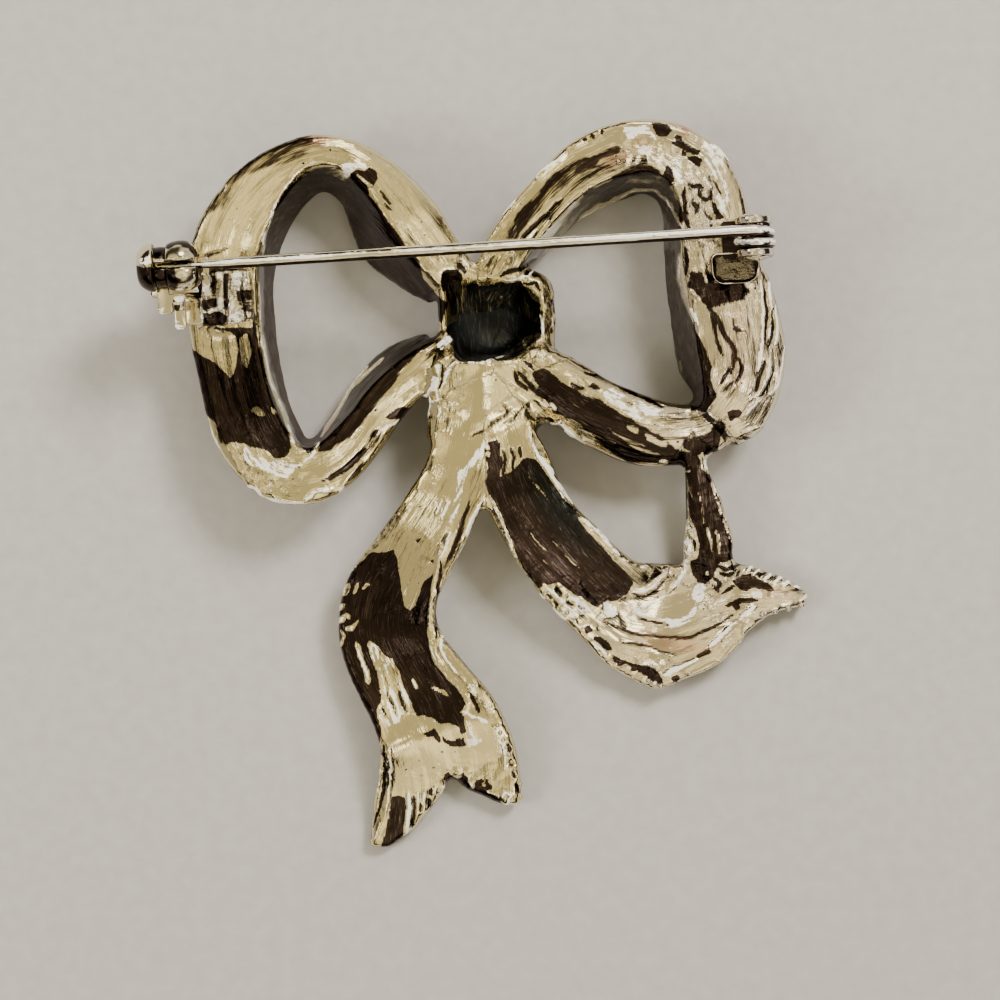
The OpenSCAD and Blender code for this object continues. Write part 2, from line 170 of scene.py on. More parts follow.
tree.nodes.clear()
way = node(tree, "TexCoord").outputs["Generated"]
light = node(tree, "CombineXYZ", {"X": SKY[0], "Y": SKY[1], "Z": SKY[2]}).outputs[0]
for azimuth, elevation, half, soft, strength, colour in PANELS:
    a, e = math.radians(azimuth), math.radians(elevation)
    axis = (math.cos(a) * math.cos(e), math.sin(a) * math.cos(e), math.sin(e))
    edge, core = math.cos(math.radians(half + soft)), math.cos(math.radians(half))
    near = node(tree, "VectorMath", {0: way, 1: axis}, operation="DOT_PRODUCT").outputs["Value"]
    amount = node(tree, "MapRange", {"Value": near, "From Min": edge, "From Max": core, "To Max": strength},
                  interpolation_type="SMOOTHSTEP").outputs["Result"]
    tinted = node(tree, "VectorMath", {0: colour, "Scale": amount}, operation="SCALE").outputs[0]
    light = node(tree, "VectorMath", {0: light, 1: tinted}, operation="ADD").outputs[0]
background = node(tree, "Background", {"Color": light, "Strength": 1.0})
tree.links.new(background.outputs[0], node(tree, "OutputWorld").inputs["Surface"])


def soft_light(name, at, size, power):
    """A square lamp that looks at the origin and isn't mirrored. Place and size are in mm."""
    lamp = bpy.data.lights.new(name, "AREA")
    lamp.energy, lamp.size, lamp.color = power, size * MM, LAMP_TINT
    thing = bpy.data.objects.new(name, lamp)
    thing.location = Vector(at) * MM
    thing.rotation_euler = (-Vector(at)).to_track_quat("-Z", "Y").to_euler()
    thing.visible_glossy = False
    scene.collection.objects.link(thing)


soft_light("key", (150, 190, 260), 90, 1.7)
soft_light("fill", (-260, -40, 200), 120, 0.8)
print(len(PANELS), "panels and 2 lamps")

# %% [markdown]
# ## Floor
#
# A plain pale floor with a very fine grain, a little rough, carries the shadow.

# %% Floor
GRAIN_SCALE = 900.0
GREYS = [(0.3, (0.38, 0.37, 0.36)), (0.7, (0.42, 0.41, 0.40))]
FLOOR_HALF = 0.6
floor_paint = bpy.data.materials.new("pale_floor")
floor_paint.use_nodes = True
tree = floor_paint.node_tree
at = node(tree, "TexCoord").outputs["Object"]
grain = node(tree, "TexNoise", {"Vector": at, "Scale": GRAIN_SCALE, "Detail": 3.0})
greys = node(tree, "ValToRGB", {"Fac": grain.outputs["Fac"]})
for stop, (place, grey) in zip(greys.color_ramp.elements, GREYS):
    stop.position, stop.color = place, (*grey, 1)
shader = tree.nodes["Principled BSDF"]
shader.inputs["Roughness"].default_value = 0.7
tree.links.new(greys.outputs["Color"], shader.inputs["Base Color"])
bm = bmesh.new()
bmesh.ops.create_grid(bm, x_segments=1, y_segments=1, size=FLOOR_HALF)
floor_mesh = bpy.data.meshes.new("floor")
bm.to_mesh(floor_mesh)
bm.free()
floor = bpy.data.objects.new("floor", floor_mesh)
floor.data.materials.append(floor_paint)
scene.collection.objects.link(floor)
floor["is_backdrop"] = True
print("floor", 2 * FLOOR_HALF, "m wide")

# %% [markdown]
# ## Ribbons and how the metal flows
#
# The ripples of the casting run along its ribbons. Each ribbon's middle line is a short list of
# points, in percent of the bow's width and height. Every point of the metal then learns how far
# along and how far across its nearest ribbon it lies.

# %% Middle lines of the ribbons
BOW_W, BOW_H, BOW_X = 47.0, 55.0, 1.58
MIDDLES = {
    "left_loop": [(-7.0, 28.6), (-14.4, 36.6), (-24.0, 44.7), (-34.9, 43.5), (-43.0, 34.8), (-44.4, 22.6),
                  (-41.6, 10.3), (-35.7, 2.6), (-26.4, 3.5), (-18.5, 11.6), (-9.6, 17.6)],
    "right_loop": [(-1.4, 29.0), (3.5, 36.1), (12.0, 43.3), (21.9, 46.2), (30.5, 42.9), (33.5, 34.4),
                   (36.3, 24.6), (37.9, 14.9), (33.9, 8.4)],
    "lower_band": [(35.2, 9.4), (30.5, 7.7), (22.4, 7.7), (13.9, 10.9), (8.4, 13.9), (1.9, 17.9)],
    "left_tail": [(-4.0, 12.6), (-7.6, 1.2), (-14.9, -9.6), (-18.7, -18.8), (-13.4, -28.3), (-8.8, -38.5),
                  (-9.4, -50.0)],
    "right_tail": [(-1.2, 8.6), (4.9, -3.9), (17.1, -15.2), (24.1, -18.0), (36.7, -15.2), (49.3, -15.2)],
    "strut": [(30.0, 7.4), (31.3, -2.4), (33.2, -12.0)],
    "knot": [(-7.0, 30.0), (-6.5, 24.0), (-5.8, 16.5)],
    "knot_right": [(5.0, 27.0), (6.2, 21.0), (5.4, 17.0)],
}
STEPS = 10
AT_ONCE = 20000


def spline(points, steps):
    """Points on a smooth curve through the given vectors."""
    p = [2 * points[0] - points[1], *points, 2 * points[-1] - points[-2]]
    curve = []
    for a, b, c, d in zip(p, p[1:], p[2:], p[3:]):
        for k in range(steps):
            t = k / steps
            curve.append(0.5 * (2 * b + (c - a) * t + (2 * a - 5 * b + 4 * c - d) * t * t
                                + (3 * b - a - 3 * c + d) * t ** 3))
    return curve + [points[-1]]


def flow_samples():
    """For each sample of each middle line: place, direction, distance along, and the line's number."""
    rows = []
    for number, points in enumerate(MIDDLES.values()):
        line = spline([Vector((BOW_X + BOW_W * x / 100, BOW_H * y / 100)) for x, y in points], STEPS)
        far = 0.0
        for k, at in enumerate(line):
            ahead = (line[min(k + 1, len(line) - 1)] - line[max(k - 1, 0)]).normalized()
            rows.append((*at, *ahead, far, number))
            if k + 1 < len(line):
                far += (line[k + 1] - at).length
    return np.array(rows)


def flow_of(co):
    """Along, across and number of the nearest ribbon, for points in millimetres."""
    rows = flow_samples()
    near = np.empty(len(co), int)
    for start in range(0, len(co), AT_ONCE):
        part = co[start:start + AT_ONCE, None, :2] - rows[None, :, :2]
        near[start:start + AT_ONCE] = (part ** 2).sum(2).argmin(1)
    hit = rows[near]
    gap = co[:, :2] - hit[:, :2]
    along = hit[:, 4] + (gap * hit[:, 2:4]).sum(1)
    across = gap[:, 1] * hit[:, 2] - gap[:, 0] * hit[:, 3]
    return np.stack([along, across, hit[:, 5]], 1)


print(len(MIDDLES), "ribbons,", len(flow_samples()), "samples")

# %% [markdown]
# ## Polished silver
#
# One finish group serves all the metal. It takes a point and gives a colour, a roughness and a
# height: fine drawn lines, pits, painted dark reflections and painted white highlights.


# %% Group for worked silver
def socket(group, name, kind, side="INPUT", start=None):
    """Adds a socket to the group, with the value that it starts with."""
    made = group.interface.new_socket(name=name, in_out=side, socket_type="NodeSocket" + kind)
    if start is not None:
        made.default_value = start
    return made


def worked_silver():
    """The node group: torn painted dark reflection, painted white highlight, pits, casts of colour, roughness
    and relief.
    """
    group = bpy.data.node_groups.new("worked_silver", "ShaderNodeTree")
    socket(group, "Place", "Vector")
    socket(group, "Flow", "Vector")
    for name, value in (("Tone", 0.0), ("Blush", 0.0), ("Crumb", 0.0), ("Drag", 1.0), ("Dull", 0.0)):
        socket(group, name, "Float", start=value)
    socket(group, "Light", "Color", start=(0.87, 0.75, 0.43, 1))
    # Dark is the colour of the painted dark reflections.
    socket(group, "Dark", "Color", start=(0.036, 0.024, 0.02, 1))
    for name in ("Lines", "Pits"):
        socket(group, name, "Float", start=1.0)
    for name, kind in (("Color", "Color"), ("Roughness", "Float"), ("Metal", "Float"), ("Height", "Float")):
        socket(group, name, kind, "OUTPUT")
    start = group.nodes.new("NodeGroupInput").outputs

    def maths(kind, *values):
        return node(group, "Math", dict(enumerate(values)), operation=kind).outputs[0]

    def swing(value, weight, onto):
        """Adds a noise, taken around its middle, with a weight."""
        return maths("MULTIPLY_ADD", maths("SUBTRACT", value, 0.5), weight, onto)

    def mix(factor, first, second, blend="MIX"):
        return node(group, "Mix", {"Factor": factor, 6: first, 7: second}, data_type="RGBA",
                    blend_type=blend).outputs[2]

    def step(value, low, high, out_low=0.0, out_high=1.0):
        sockets = {"Value": value, "From Min": low, "From Max": high, "To Min": out_low, "To Max": out_high}
        return node(group, "MapRange", sockets, interpolation_type="SMOOTHSTEP").outputs["Result"]

    def grain(place, scale, detail, stretch=None):
        if stretch:
            place = node(group, "VectorMath", {0: place, 1: stretch}, operation="MULTIPLY").outputs[0]
        return node(group, "TexNoise", {"Vector": place, "Scale": scale, "Detail": detail,
                                        "Roughness": 0.6}).outputs["Fac"]

    broad = grain(start["Flow"], 1.0, 3.0, (0.22, 1.9, 7.3))
    fine = grain(start["Flow"], 1.0, 2.0, (0.9, 9.0, 7.3))
    drawn = grain(start["Flow"], 1.0, 2.0, (0.3, 3.6, 3.1))
    lumps = grain(start["Place"], 0.9, 4.0)
    crumbs = grain(start["Place"], 2.6, 3.0)
    cells = node(group, "TexVoronoi", {"Vector": start["Place"], "Scale": 1.3}).outputs["Distance"]
    pits = maths("MULTIPLY", step(cells, 0.05, 0.16, 1.0, 0.0), step(lumps, 0.5, 0.62))
    pits = maths("MULTIPLY", pits, start["Pits"])
    # Painted dark reflection, torn at its edges, where the tone is high, and a painted white highlight where
    # it is low.
    torn = swing(fine, 0.9, swing(broad, 1.1, start["Tone"]))
    torn = maths("MULTIPLY_ADD", maths("MULTIPLY", maths("SUBTRACT", crumbs, 0.5), start["Crumb"]), 3.0, torn)
    painted_dark = maths("MAXIMUM", step(torn, 0.12, 0.55), pits)
    white = step(swing(drawn, 1.5, swing(crumbs, 0.9, torn)), -0.95, -0.7, 1.0, 0.0)
    # The metal is painted warm on the left and neutral on the right, as a painted reflection of the room.
    across = node(group, "SeparateXYZ", {"Vector": start["Place"]}).outputs["X"]
    metal = mix(step(across, 2.0, 18.0, 0.0, 0.55), start["Light"], (1.03, 1.05, 1.55, 1), "MULTIPLY")
    metal = mix(white, metal, (0.96, 0.94, 0.88, 1))
    # A blush below zero cools the painted dark reflection to near black, as painted deep shade. Fine
    # scratches show in it.
    dark = mix(maths("MULTIPLY", start["Blush"], -1.0), start["Dark"], (0.016, 0.019, 0.019, 1))
    dark = mix(maths("MULTIPLY", step(fine, 0.54, 0.7), 0.4), dark, (0.16, 0.135, 0.115, 1))
    metal = mix(painted_dark, metal, dark)
    clear = maths("MULTIPLY_ADD", painted_dark, -0.75, 1.0)
    rose = mix(maths("MULTIPLY", start["Blush"], clear), metal, (0.55, 0.20, 0.17, 1))
    high = maths("MULTIPLY_ADD", fine, 0.2, broad)
    high = maths("MULTIPLY", high, maths("MULTIPLY", start["Lines"], start["Drag"]))
    high = maths("MULTIPLY_ADD", lumps, 0.5, high)
    high = maths("MULTIPLY_ADD", maths("MULTIPLY", crumbs, start["Crumb"]), 3.0, high)
    high = maths("MULTIPLY_ADD", pits, -0.8, high)
    end = group.nodes.new("NodeGroupOutput").inputs
    rough = maths("MULTIPLY_ADD", start["Dull"], 0.5, step(lumps, 0.35, 0.7, 0.06, 0.2))
    # Painted white highlights are less metallic, so that the lamps light them.
    shine = maths("SUBTRACT", 1.0, maths("MULTIPLY", start["Dull"], 0.9))
    shine = maths("MULTIPLY", shine, maths("MULTIPLY_ADD", white, -0.8, 1.0))
    for name, value in (("Color", rose), ("Roughness", rough), ("Metal", shine), ("Height", high)):
        group.links.new(value, end[name])
    return group


SILVER = worked_silver()


def silver(name, bump, crumb=0.0, **values):
    """A material around the silver group. Bump is the height of its relief in millimetres."""
    material = bpy.data.materials.new(name)
    material.use_nodes = True
    tree = material.node_tree

    def stored(name):
        return node(tree, "Attribute", attribute_name=name).outputs["Vector"]

    at = node(tree, "TexCoord").outputs["Object"]
    place = node(tree, "VectorMath", {0: at, "Scale": 1 / MM}, operation="SCALE").outputs[0]
    finish = node(tree, "SeparateXYZ", {"Vector": stored("finish")}).outputs
    wear = node(tree, "SeparateXYZ", {"Vector": stored("wear")}).outputs
    more_crumb = node(tree, "Math", {0: finish["Z"], 1: crumb}, operation="ADD").outputs[0]
    inputs = {"Place": place, "Flow": stored("flow"), "Tone": finish["X"], "Blush": finish["Y"],
              "Crumb": more_crumb, "Drag": wear["X"], "Dull": wear["Y"], **values}
    look = node(tree, "Group", inputs, node_tree=SILVER)
    relief = node(tree, "Bump", {"Height": look.outputs["Height"], "Strength": 1.0, "Distance": bump * MM})
    shader = tree.nodes["Principled BSDF"]
    for name, goal in (("Color", "Base Color"), ("Roughness", "Roughness"), ("Metal", "Metallic")):
        tree.links.new(look.outputs[name], shader.inputs[goal])
    tree.links.new(relief.outputs["Normal"], shader.inputs["Normal"])
    return material


cast_silver = silver("cast_silver", 0.06)
bright_silver = silver("bright_silver", 0.02, Light=(0.86, 0.77, 0.54, 1), Lines=0.4, Pits=0.5)
drawn_steel = silver("drawn_steel", 0.004, Light=(0.95, 0.88, 0.70, 1), Pits=0.2)
solder = silver("solder", 0.05, crumb=0.3, Light=(0.88, 0.80, 0.62, 1))
old_solder = silver("old_solder", 0.10, crumb=0.6, Light=(0.20, 0.17, 0.09, 1))
print("materials:", [material.name for material in bpy.data.materials])

# %% [markdown]
# ## From millimetres to a finished piece
#
# A finished piece sits at the origin, unturned, with its place in its mesh.


# %% Helpers for meshes
def rise(values, start, end):
    """0 before the start and 1 past the end, in a straight line between."""
    return np.clip((values - start) / (end - start), 0, 1)


def skin_of(bm):
    """Places and normals of all points, as two arrays."""
    bm.normal_update()
    return np.array([v.co[:] for v in bm.verts]), np.array([v.normal[:] for v in bm.verts])


def put(bm, places):
    """Moves all points to the given places."""
    for vert, place in zip(bm.verts, places):
        vert.co = place


def smooth(bm, verts, passes):
    """Draws points towards their neighbours."""
    for _ in range(passes):
        bmesh.ops.smooth_vert(bm, verts=verts, factor=0.5, use_axis_x=True, use_axis_y=True, use_axis_z=True)


def painted_wall_reflection(normals, start=0.5, full=0.0, most=0.4):
    """Steep walls are painted dark, as the dark room mirrored in them. The front, which faces down, is made
    lighter.
    """
    return most * rise(normals[:, 2], start, full) - (most + 0.2) * rise(normals[:, 2], -0.45, -0.8)


def give_vectors(mesh, name, *columns):
    """Stores a vector at each point, from three columns or single numbers."""
    values = np.stack([np.broadcast_to(column, len(mesh.vertices)) for column in columns], 1)
    stored = mesh.attributes.new(name, "FLOAT_VECTOR", "POINT").data
    stored.foreach_set("vector", values.astype(np.float32).ravel())


def finish_piece(name, bm, material, body, tone=None, blush=0.0, crumb=0.0, flow=None, drag=1.0,
                 dull=0.0):
    """Makes the object, with attributes for its finish (tone, blush, crumb), flow and wear (drag, dull). Tone
    and blush carry painted reflections, highlights and shade.
    """
    co, normals = skin_of(bm)
    bmesh.ops.scale(bm, vec=(MM, MM, MM), verts=bm.verts)
    mesh = bpy.data.meshes.new(name)
    bm.to_mesh(mesh)
    bm.free()
    mesh.shade_smooth()
    give_vectors(mesh, "finish", painted_wall_reflection(normals) if tone is None else tone, blush, crumb)
    give_vectors(mesh, "flow", *(co if flow is None else flow).T)
    give_vectors(mesh, "wear", drag, dull, 0.0)
    thing = bpy.data.objects.new(name, mesh)
    mesh.materials.append(material)
    scene.collection.objects.link(thing)
    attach(thing, body)
    print(name, len(mesh.polygons), "faces")
    return thing


def in_passing(name, bm):
    """A passing object in millimetres, for a modifier to work on."""
    mesh = bpy.data.meshes.new(name)
    bm.to_mesh(mesh)
    bm.free()
    thing = bpy.data.objects.new(name, mesh)
    scene.collection.objects.link(thing)
    return thing


def carve(thing, tool):
    """Takes the tool's shape away from the object."""
    cut = thing.modifiers.new("cut", "BOOLEAN")
    cut.operation, cut.solver, cut.object = "DIFFERENCE", "EXACT", tool


def worked(thing, *tools):
    """A bmesh of the object with its modifiers applied. The object and its tools are removed."""
    bm = bmesh.new()
    bm.from_object(thing, bpy.context.evaluated_depsgraph_get())
    for used in (thing, *tools):
        mesh = used.data
        bpy.data.objects.remove(used)
        bpy.data.meshes.remove(mesh)
    return bm


def block(low, high, place):
    """A box between two corners of a local frame."""
    bm = bmesh.new()
    size, middle = Vector(high) - Vector(low), (Vector(low) + Vector(high)) / 2
    bmesh.ops.create_cube(bm, size=1, matrix=place @ Matrix.Translation(middle) @ Matrix.Diagonal((*size, 1)))
    return bm


# %% [markdown]
# ## The casting
#
# The CAD bow already has every ribbon in its place, but in flat facets, and the bracket and the
# catch are part of it. So a merged copy loses those two, is wrapped in a fine even skin with the
# voxel remesh, smoothed, and then gets the ripples that the wax left in the metal.

# %% Casting, first the bare bow
MERGED = 0.003
VOXEL = 0.30
SKIN_PASSES = 6
bm = bmesh.new()
bm.from_mesh(frame["nodes"]["bow"].data)
bmesh.ops.scale(bm, vec=(1 / MM,) * 3, verts=bm.verts)
bmesh.ops.remove_doubles(bm, verts=bm.verts, dist=MERGED)
bare = in_passing("bare_bow", bm)
CUTS = [
    # frame, low corner, high corner
    (HINGE, (-3.4, -3.6, -2.25), (1.7, 1.7, 4)),
    (CATCH, (-3.2, -4.7, -4.05), (3.1, 2.4, 3)),
    (CATCH, (2.9, -4.7, -3.42), (6.6, 0.5, 3)),
]
cutters = [in_passing("cutter", block(low, high, place)) for place, low, high in CUTS]
for cutter in cutters:
    carve(bare, cutter)
skin = bare.modifiers.new("skin", "REMESH")
skin.mode, skin.voxel_size = "VOXEL", VOXEL
bm = worked(bare, *cutters)
smooth(bm, bm.verts, SKIN_PASSES)
print("casting:", len(bm.faces), "even faces")

# %% [markdown]
# The back is what shows, so it deserves the small faces. The walls and the front are thinned with
# a Decimate modifier that follows a vertex group, and then every face that looks up is divided.
# The plate below the knot is the calmest place, so it is smoothed further.

# %% Casting, fine where it shows
SEEN_UP, LOOKS_UP = 0.1, 0.3
THINNED = 0.58
FINE_PASSES, PLATE_PASSES = 3, 40
PLATE_AT, PLATE_R = (-0.3, 6.7), (1.9, 2.6)
bm.normal_update()
weights = bm.verts.layers.deform.verify()
for vert in bm.verts:
    vert[weights][0] = 0.0 if vert.normal.z > SEEN_UP else 1.0
even = in_passing("even_skin", bm)
even.vertex_groups.new(name="out_of_sight")
thin = even.modifiers.new("thin", "DECIMATE")
thin.ratio, thin.vertex_group, thin.vertex_group_factor = THINNED, "out_of_sight", 1000
bm = worked(even)
bm.normal_update()
shows = [edge for edge in bm.edges if min(vert.normal.z for vert in edge.verts) > LOOKS_UP]
bmesh.ops.subdivide_edges(bm, edges=shows, cuts=1, use_grid_fill=True)
bm.normal_update()
fine = [vert for vert in bm.verts if vert.normal.z > LOOKS_UP]
smooth(bm, fine, FINE_PASSES)
off_plate = [[(vert.co[k] - PLATE_AT[k]) / PLATE_R[k] for k in range(2)] for vert in fine]
smooth(bm, [vert for vert, off in zip(fine, off_plate) if math.hypot(*off) < 1], PLATE_PASSES)
print("casting:", sum(len(face.verts) - 2 for face in bm.faces), "triangles")

# %% [markdown]
# Ripples follow the flow. Some places are livelier than others, so a table lists them: place and
# size in millimetres, and how much ripple and how much crumb each adds.

# %% Ripples and crumbs
LIVELY = [
    # x, y, radius x, radius y, ripple, crumb
    (16.0, 21.0, 1.6, 2.4, 0.02, 0.16),
    (21.0, 9.0, 2.4, 6.0, 0.05, 0.0),
    (-3.0, 8.2, 1.3, 3.4, 0.02, 0.06),
    (3.9, 9.6, 1.2, 2.6, 0.0, 0.12),
    (15.0, -4.0, 1.6, 2.2, 0.02, 0.16),
    (18.2, 15.0, 2.6, 1.4, 0.0, 0.14),
    (17.6, -6.8, 1.6, 1.6, 0.0, 0.10),
    (7.0, -8.2, 3.0, 1.2, 0.0, 0.10),
    (12.4, -14.0, 1.6, 1.0, 0.0, 0.14),
    (-1.0, -21.8, 2.4, 0.8, 0.0, 0.10),
    (12.0, 24.6, 2.6, 2.0, 0.0, 0.06),
    (-16.0, 0.6, 2.4, 1.2, 0.0, 0.10),
    (5.4, 13.4, 0.9, 2.4, 0.0, 0.08),
    # calm places
    (-0.2, 6.8, 2.6, 2.8, -0.024, 0.0),
    (-2.6, -19.6, 4.0, 1.8, -0.020, 0.0),
    (13.0, -10.6, 3.6, 2.2, -0.018, 0.0),
    (-3.2, 2.0, 2.4, 2.4, -0.016, 0.0),
]
RIPPLE, LEAST_RIPPLE = 0.03, 0.004
ALONG, ACROSS, APART = 0.2, 1.5, 9.1
WAVE, WAVE_SCALE = 0.05, 0.45
LEAST_CRUMB, CRUMB_SCALE = 0.004, 1.6
SWELLS = [
    # x, y, radius x, radius y, push in x and y
    # the strut is a little wider than in the CAD
    (16.6, -0.9, 1.6, 1.6, 0.85, 0.0),
    (17.6, -3.2, 1.6, 1.4, 0.6, 0.0),
    # and the corner of the right tail more pointed
    (12.2, -14.4, 2.4, 1.5, 0.1, -0.85),
    (9.2, -12.9, 2.0, 1.5, -0.15, -0.25),
]


def seen(co):
    """Plan places as the camera sees them at the height of the casting's back."""
    nearer = (CAMERA_Z - SEEN_Z) / (CAMERA_Z - co[:, 2:3])
    return CAMERA_XY + (co[:, :2] - CAMERA_XY) * nearer


def plan_bell(co, x, y, rx, ry):
    """1 at a place in plan, and softly down to 0 around it."""
    return np.exp(-((co[:, 0] - x) / rx) ** 2 - ((co[:, 1] - y) / ry) ** 2)


co, normals = skin_of(bm)
for x, y, rx, ry, *push in SWELLS:
    outward = np.clip(normals[:, :2] @ Vector(push).normalized(), 0, 1)
    co[:, :2] += np.outer(plan_bell(seen(co), x, y, rx, ry) * outward, push)
put(bm, co)
normals = skin_of(bm)[1]
flow = flow_of(co)
ripple = np.maximum(LEAST_RIPPLE, RIPPLE + sum(row[4] * plan_bell(co, *row[:4]) for row in LIVELY))
crumb = sum(row[5] * plan_bell(co, *row[:4]) for row in LIVELY)
lift = np.array([2 * r * noise.noise(Vector((along * ALONG, across * ACROSS, number * APART)))
                 for r, (along, across, number) in zip(ripple, flow)])
lift += np.array([WAVE * noise.noise(v.co * WAVE_SCALE) for v in bm.verts])
lift += np.array([2 * c * noise.noise(v.co * CRUMB_SCALE) if c > LEAST_CRUMB else 0.0
                  for v, c in zip(bm.verts, crumb)])
print("ripples from", round(lift.min(), 2), "to", round(lift.max(), 2), "mm")

# %% [markdown]
# Everything that has a place of its own is a stroke: a soft line that lifts or sinks the metal
# and paints it white or dark, as a painted highlight or a painted dark reflection. Rims, slots, cracks,
# folds and sparks are all strokes. Their points are in millimetres, as the camera sees them at the height of
# the casting's back.
#
# The left loop stands on edge, with painted white highlights on its rims and painted dark lines beside them.

# %% Strokes of the left loop
# A stroke's tone below zero paints a white highlight, above zero a dark reflection.
STROKES = [
    # half width, tone, height, points from end to end
    # inner rim
    (0.13, -1, 0.08, (-16.29, 17.56), (-16.29, 18.45), (-15.92, 19.56), (-15.4, 21.04), (-14.81, 22.16),
     (-13.55, 23.64), (-12.43, 24.38)),
    # lines above the pin
    (0.13, 0.6, -0.05, (-20.73, 17.19), (-19.92, 17.49), (-19.03, 17.71)),
    (0.13, -0.9, 0.04, (-20.07, 17.71), (-18.88, 17.93)),
    # outer spark
    (0.16, -1.4, 0.05, (-18.21, 24.16), (-17.77, 24.53), (-16.36, 25.05)),
    # rim by the notch
    (0.13, 0.5, -0.05, (-12.21, 23.27), (-11.17, 23.27)),
    (0.13, 0.5, -0.05, (-11.92, 23.71), (-10.73, 23.79)),
    (0.13, -1.3, 0.06, (-9.32, 23.19), (-8.8, 22.9), (-8.14, 22.38)),
    # arm lines
    (0.13, 0.7, -0.05, (-7.62, 22.16), (-7.17, 21.56), (-6.73, 21.04)),
    (0.13, 0.7, -0.05, (-7.25, 21.12), (-6.73, 20.53)),
    (0.13, 0.5, -0.04, (-6.14, 19.78), (-5.25, 18.6), (-4.65, 17.71)),
    # inner rim of the band
    (0.16, -1, 0.08, (-16.66, 15.34), (-16.51, 11.78), (-16.06, 9.56), (-15.77, 8.08), (-15.18, 6.59),
     (-14.58, 5.11), (-14.14, 3.63), (-13.55, 2.52)),
    # line beside it
    (0.13, 0.8, -0.06, (-17.1, 14.75), (-16.88, 11.78), (-16.36, 9.41), (-15.92, 7.78)),
    # outer edge
    (0.16, -1.3, 0.08, (-20.51, 5.04), (-20.07, 4), (-19.77, 3.04), (-19.55, 2.22)),
    (0.13, 0.6, -0.05, (-19.7, 4.74), (-19.33, 3.26)),
    # bottom rim
    (0.16, -1.3, 0.08, (-17.77, 0.22), (-16.81, 0.07), (-16.36, -0.67), (-15.03, -0.96), (-13.17, -0.96),
     (-12.36, -0.22), (-11.32, -0.07)),
    (0.16, -1.2, 0.06, (-13.62, 1.63), (-12.66, 2.45), (-12.06, 3.41)),
    # low arm, edges
    (0.16, -0.9, 0.06, (-7.32, 9.71), (-8.73, 8.45), (-9.84, 7.34)),
    (0.16, -1.1, 0.05, (-8.51, 9.11), (-9.84, 7.48), (-10.88, 5.56), (-11.92, 3.93)),
    (0.2, -1.3, 0.06, (-7.62, 4.22), (-6.88, 4.67), (-6.28, 5.19)),
    (0.13, -1.1, 0.08, (-13.17, -0.96), (-12.43, -0.15), (-11.32, 0.22)),
    (0.13, -0.9, 0.08, (-12.66, -1.48), (-11.69, -1.41), (-10.95, -0.67), (-10.43, 0.15), (-9.69, 1.26),
     (-8.95, 2)),
    (0.13, 0.7, -0.05, (-11.92, 0.52), (-10.58, 1.26), (-9.25, 2.52), (-8.21, 3.26), (-7.47, 4.22)),
    (0.13, 1.1, -0.08, (-11.32, 0.67), (-9.69, 1.78), (-8.65, 2.89)),
    (0.13, 1.2, -0.08, (-8.21, 3.78), (-7.77, 4.37)),
]
print(len(STROKES), "strokes")

# %% [markdown]
# The top of the right loop is the liveliest place: a groove, slots, a seam and rays.

# %% Strokes of the right loop: top
STROKES += [
    # half width, tone, height, points
    # outer band
    (0.16, -1.1, 0.06, (1.5, 20.3), (2.09, 20.97), (2.46, 21.41)),
    (0.16, -1.1, 0.06, (3.94, 23.05), (4.31, 23.49), (4.83, 23.93), (5.65, 24.45), (6.17, 25.05)),
    (0.16, -1.1, 0.06, (6.54, 25.34), (7.65, 25.71)),
    # pits
    (0.2, 1.3, -0.08, (8.02, 26.08), (8.24, 26.16)),
    (0.2, 1.3, -0.08, (8.76, 26.45), (8.91, 26.53)),
    (0.13, 1.2, -0.08, (7.42, 25.79), (7.72, 25.93)),
    # beside the groove
    (0.13, 1, -0.08, (2.68, 18.45), (3.72, 19.41), (4.61, 20.3), (5.87, 21.49)),
    (0.13, 0.8, -0.05, (7.42, 21.86), (8.17, 22.08), (8.91, 21.93), (9.5, 22.38)),
    # inner rim
    (0.14, -1, 0.08, (6.46, 18.9), (7.42, 20.16), (8.09, 20.6), (9.57, 21.41), (11.2, 22.16), (12.76, 22.16),
     (13.72, 21.41), (14.32, 20.3), (14.98, 19.19)),
    # in the slots
    (0.13, 1.2, -0.1, (14.24, 26.08), (14.76, 25.93)),
    (0.13, 1.1, -0.1, (14.76, 25.05), (15.06, 24.68)),
    # outer edge
    (0.13, -1.2, 0.08, (16.98, 25.56), (17.58, 25.05), (18.17, 24.38)),
    # seam
    (0.14, 1.2, -0.12, (14.98, 22.38), (14.98, 21.04), (14.91, 20.3), (15.35, 19.34)),
    # crumbs
    (0.14, 1.2, -0.12, (15.58, 22.45), (16.02, 22.6), (16.32, 22.3)),
    (0.13, 1.2, -0.12, (16.02, 22.3), (16.09, 21.71), (16.54, 21.41), (16.91, 21.56), (16.98, 22.01)),
    (0.16, 1.2, -0.12, (15.5, 21.27), (15.95, 20.82), (15.8, 20.38)),
    (0.13, 1.1, -0.1, (16.47, 20.53), (16.91, 19.78)),
    # rays
    (0.18, -1.3, 0.1, (17.58, 21.41), (18.17, 20.08)),
    (0.14, -1.2, 0.1, (16.32, 23.12), (16.98, 22.3)),
    (0.13, -1.2, 0.1, (16.24, 20.67), (16.84, 19.49)),
    (0.13, 0.8, -0.08, (16.61, 23.49), (17.28, 22.6), (17.72, 21.79)),
]
print(len(STROKES), "strokes")

# %% [markdown]
# Its right band has a dark column with cracks, and ripples on the outer side.

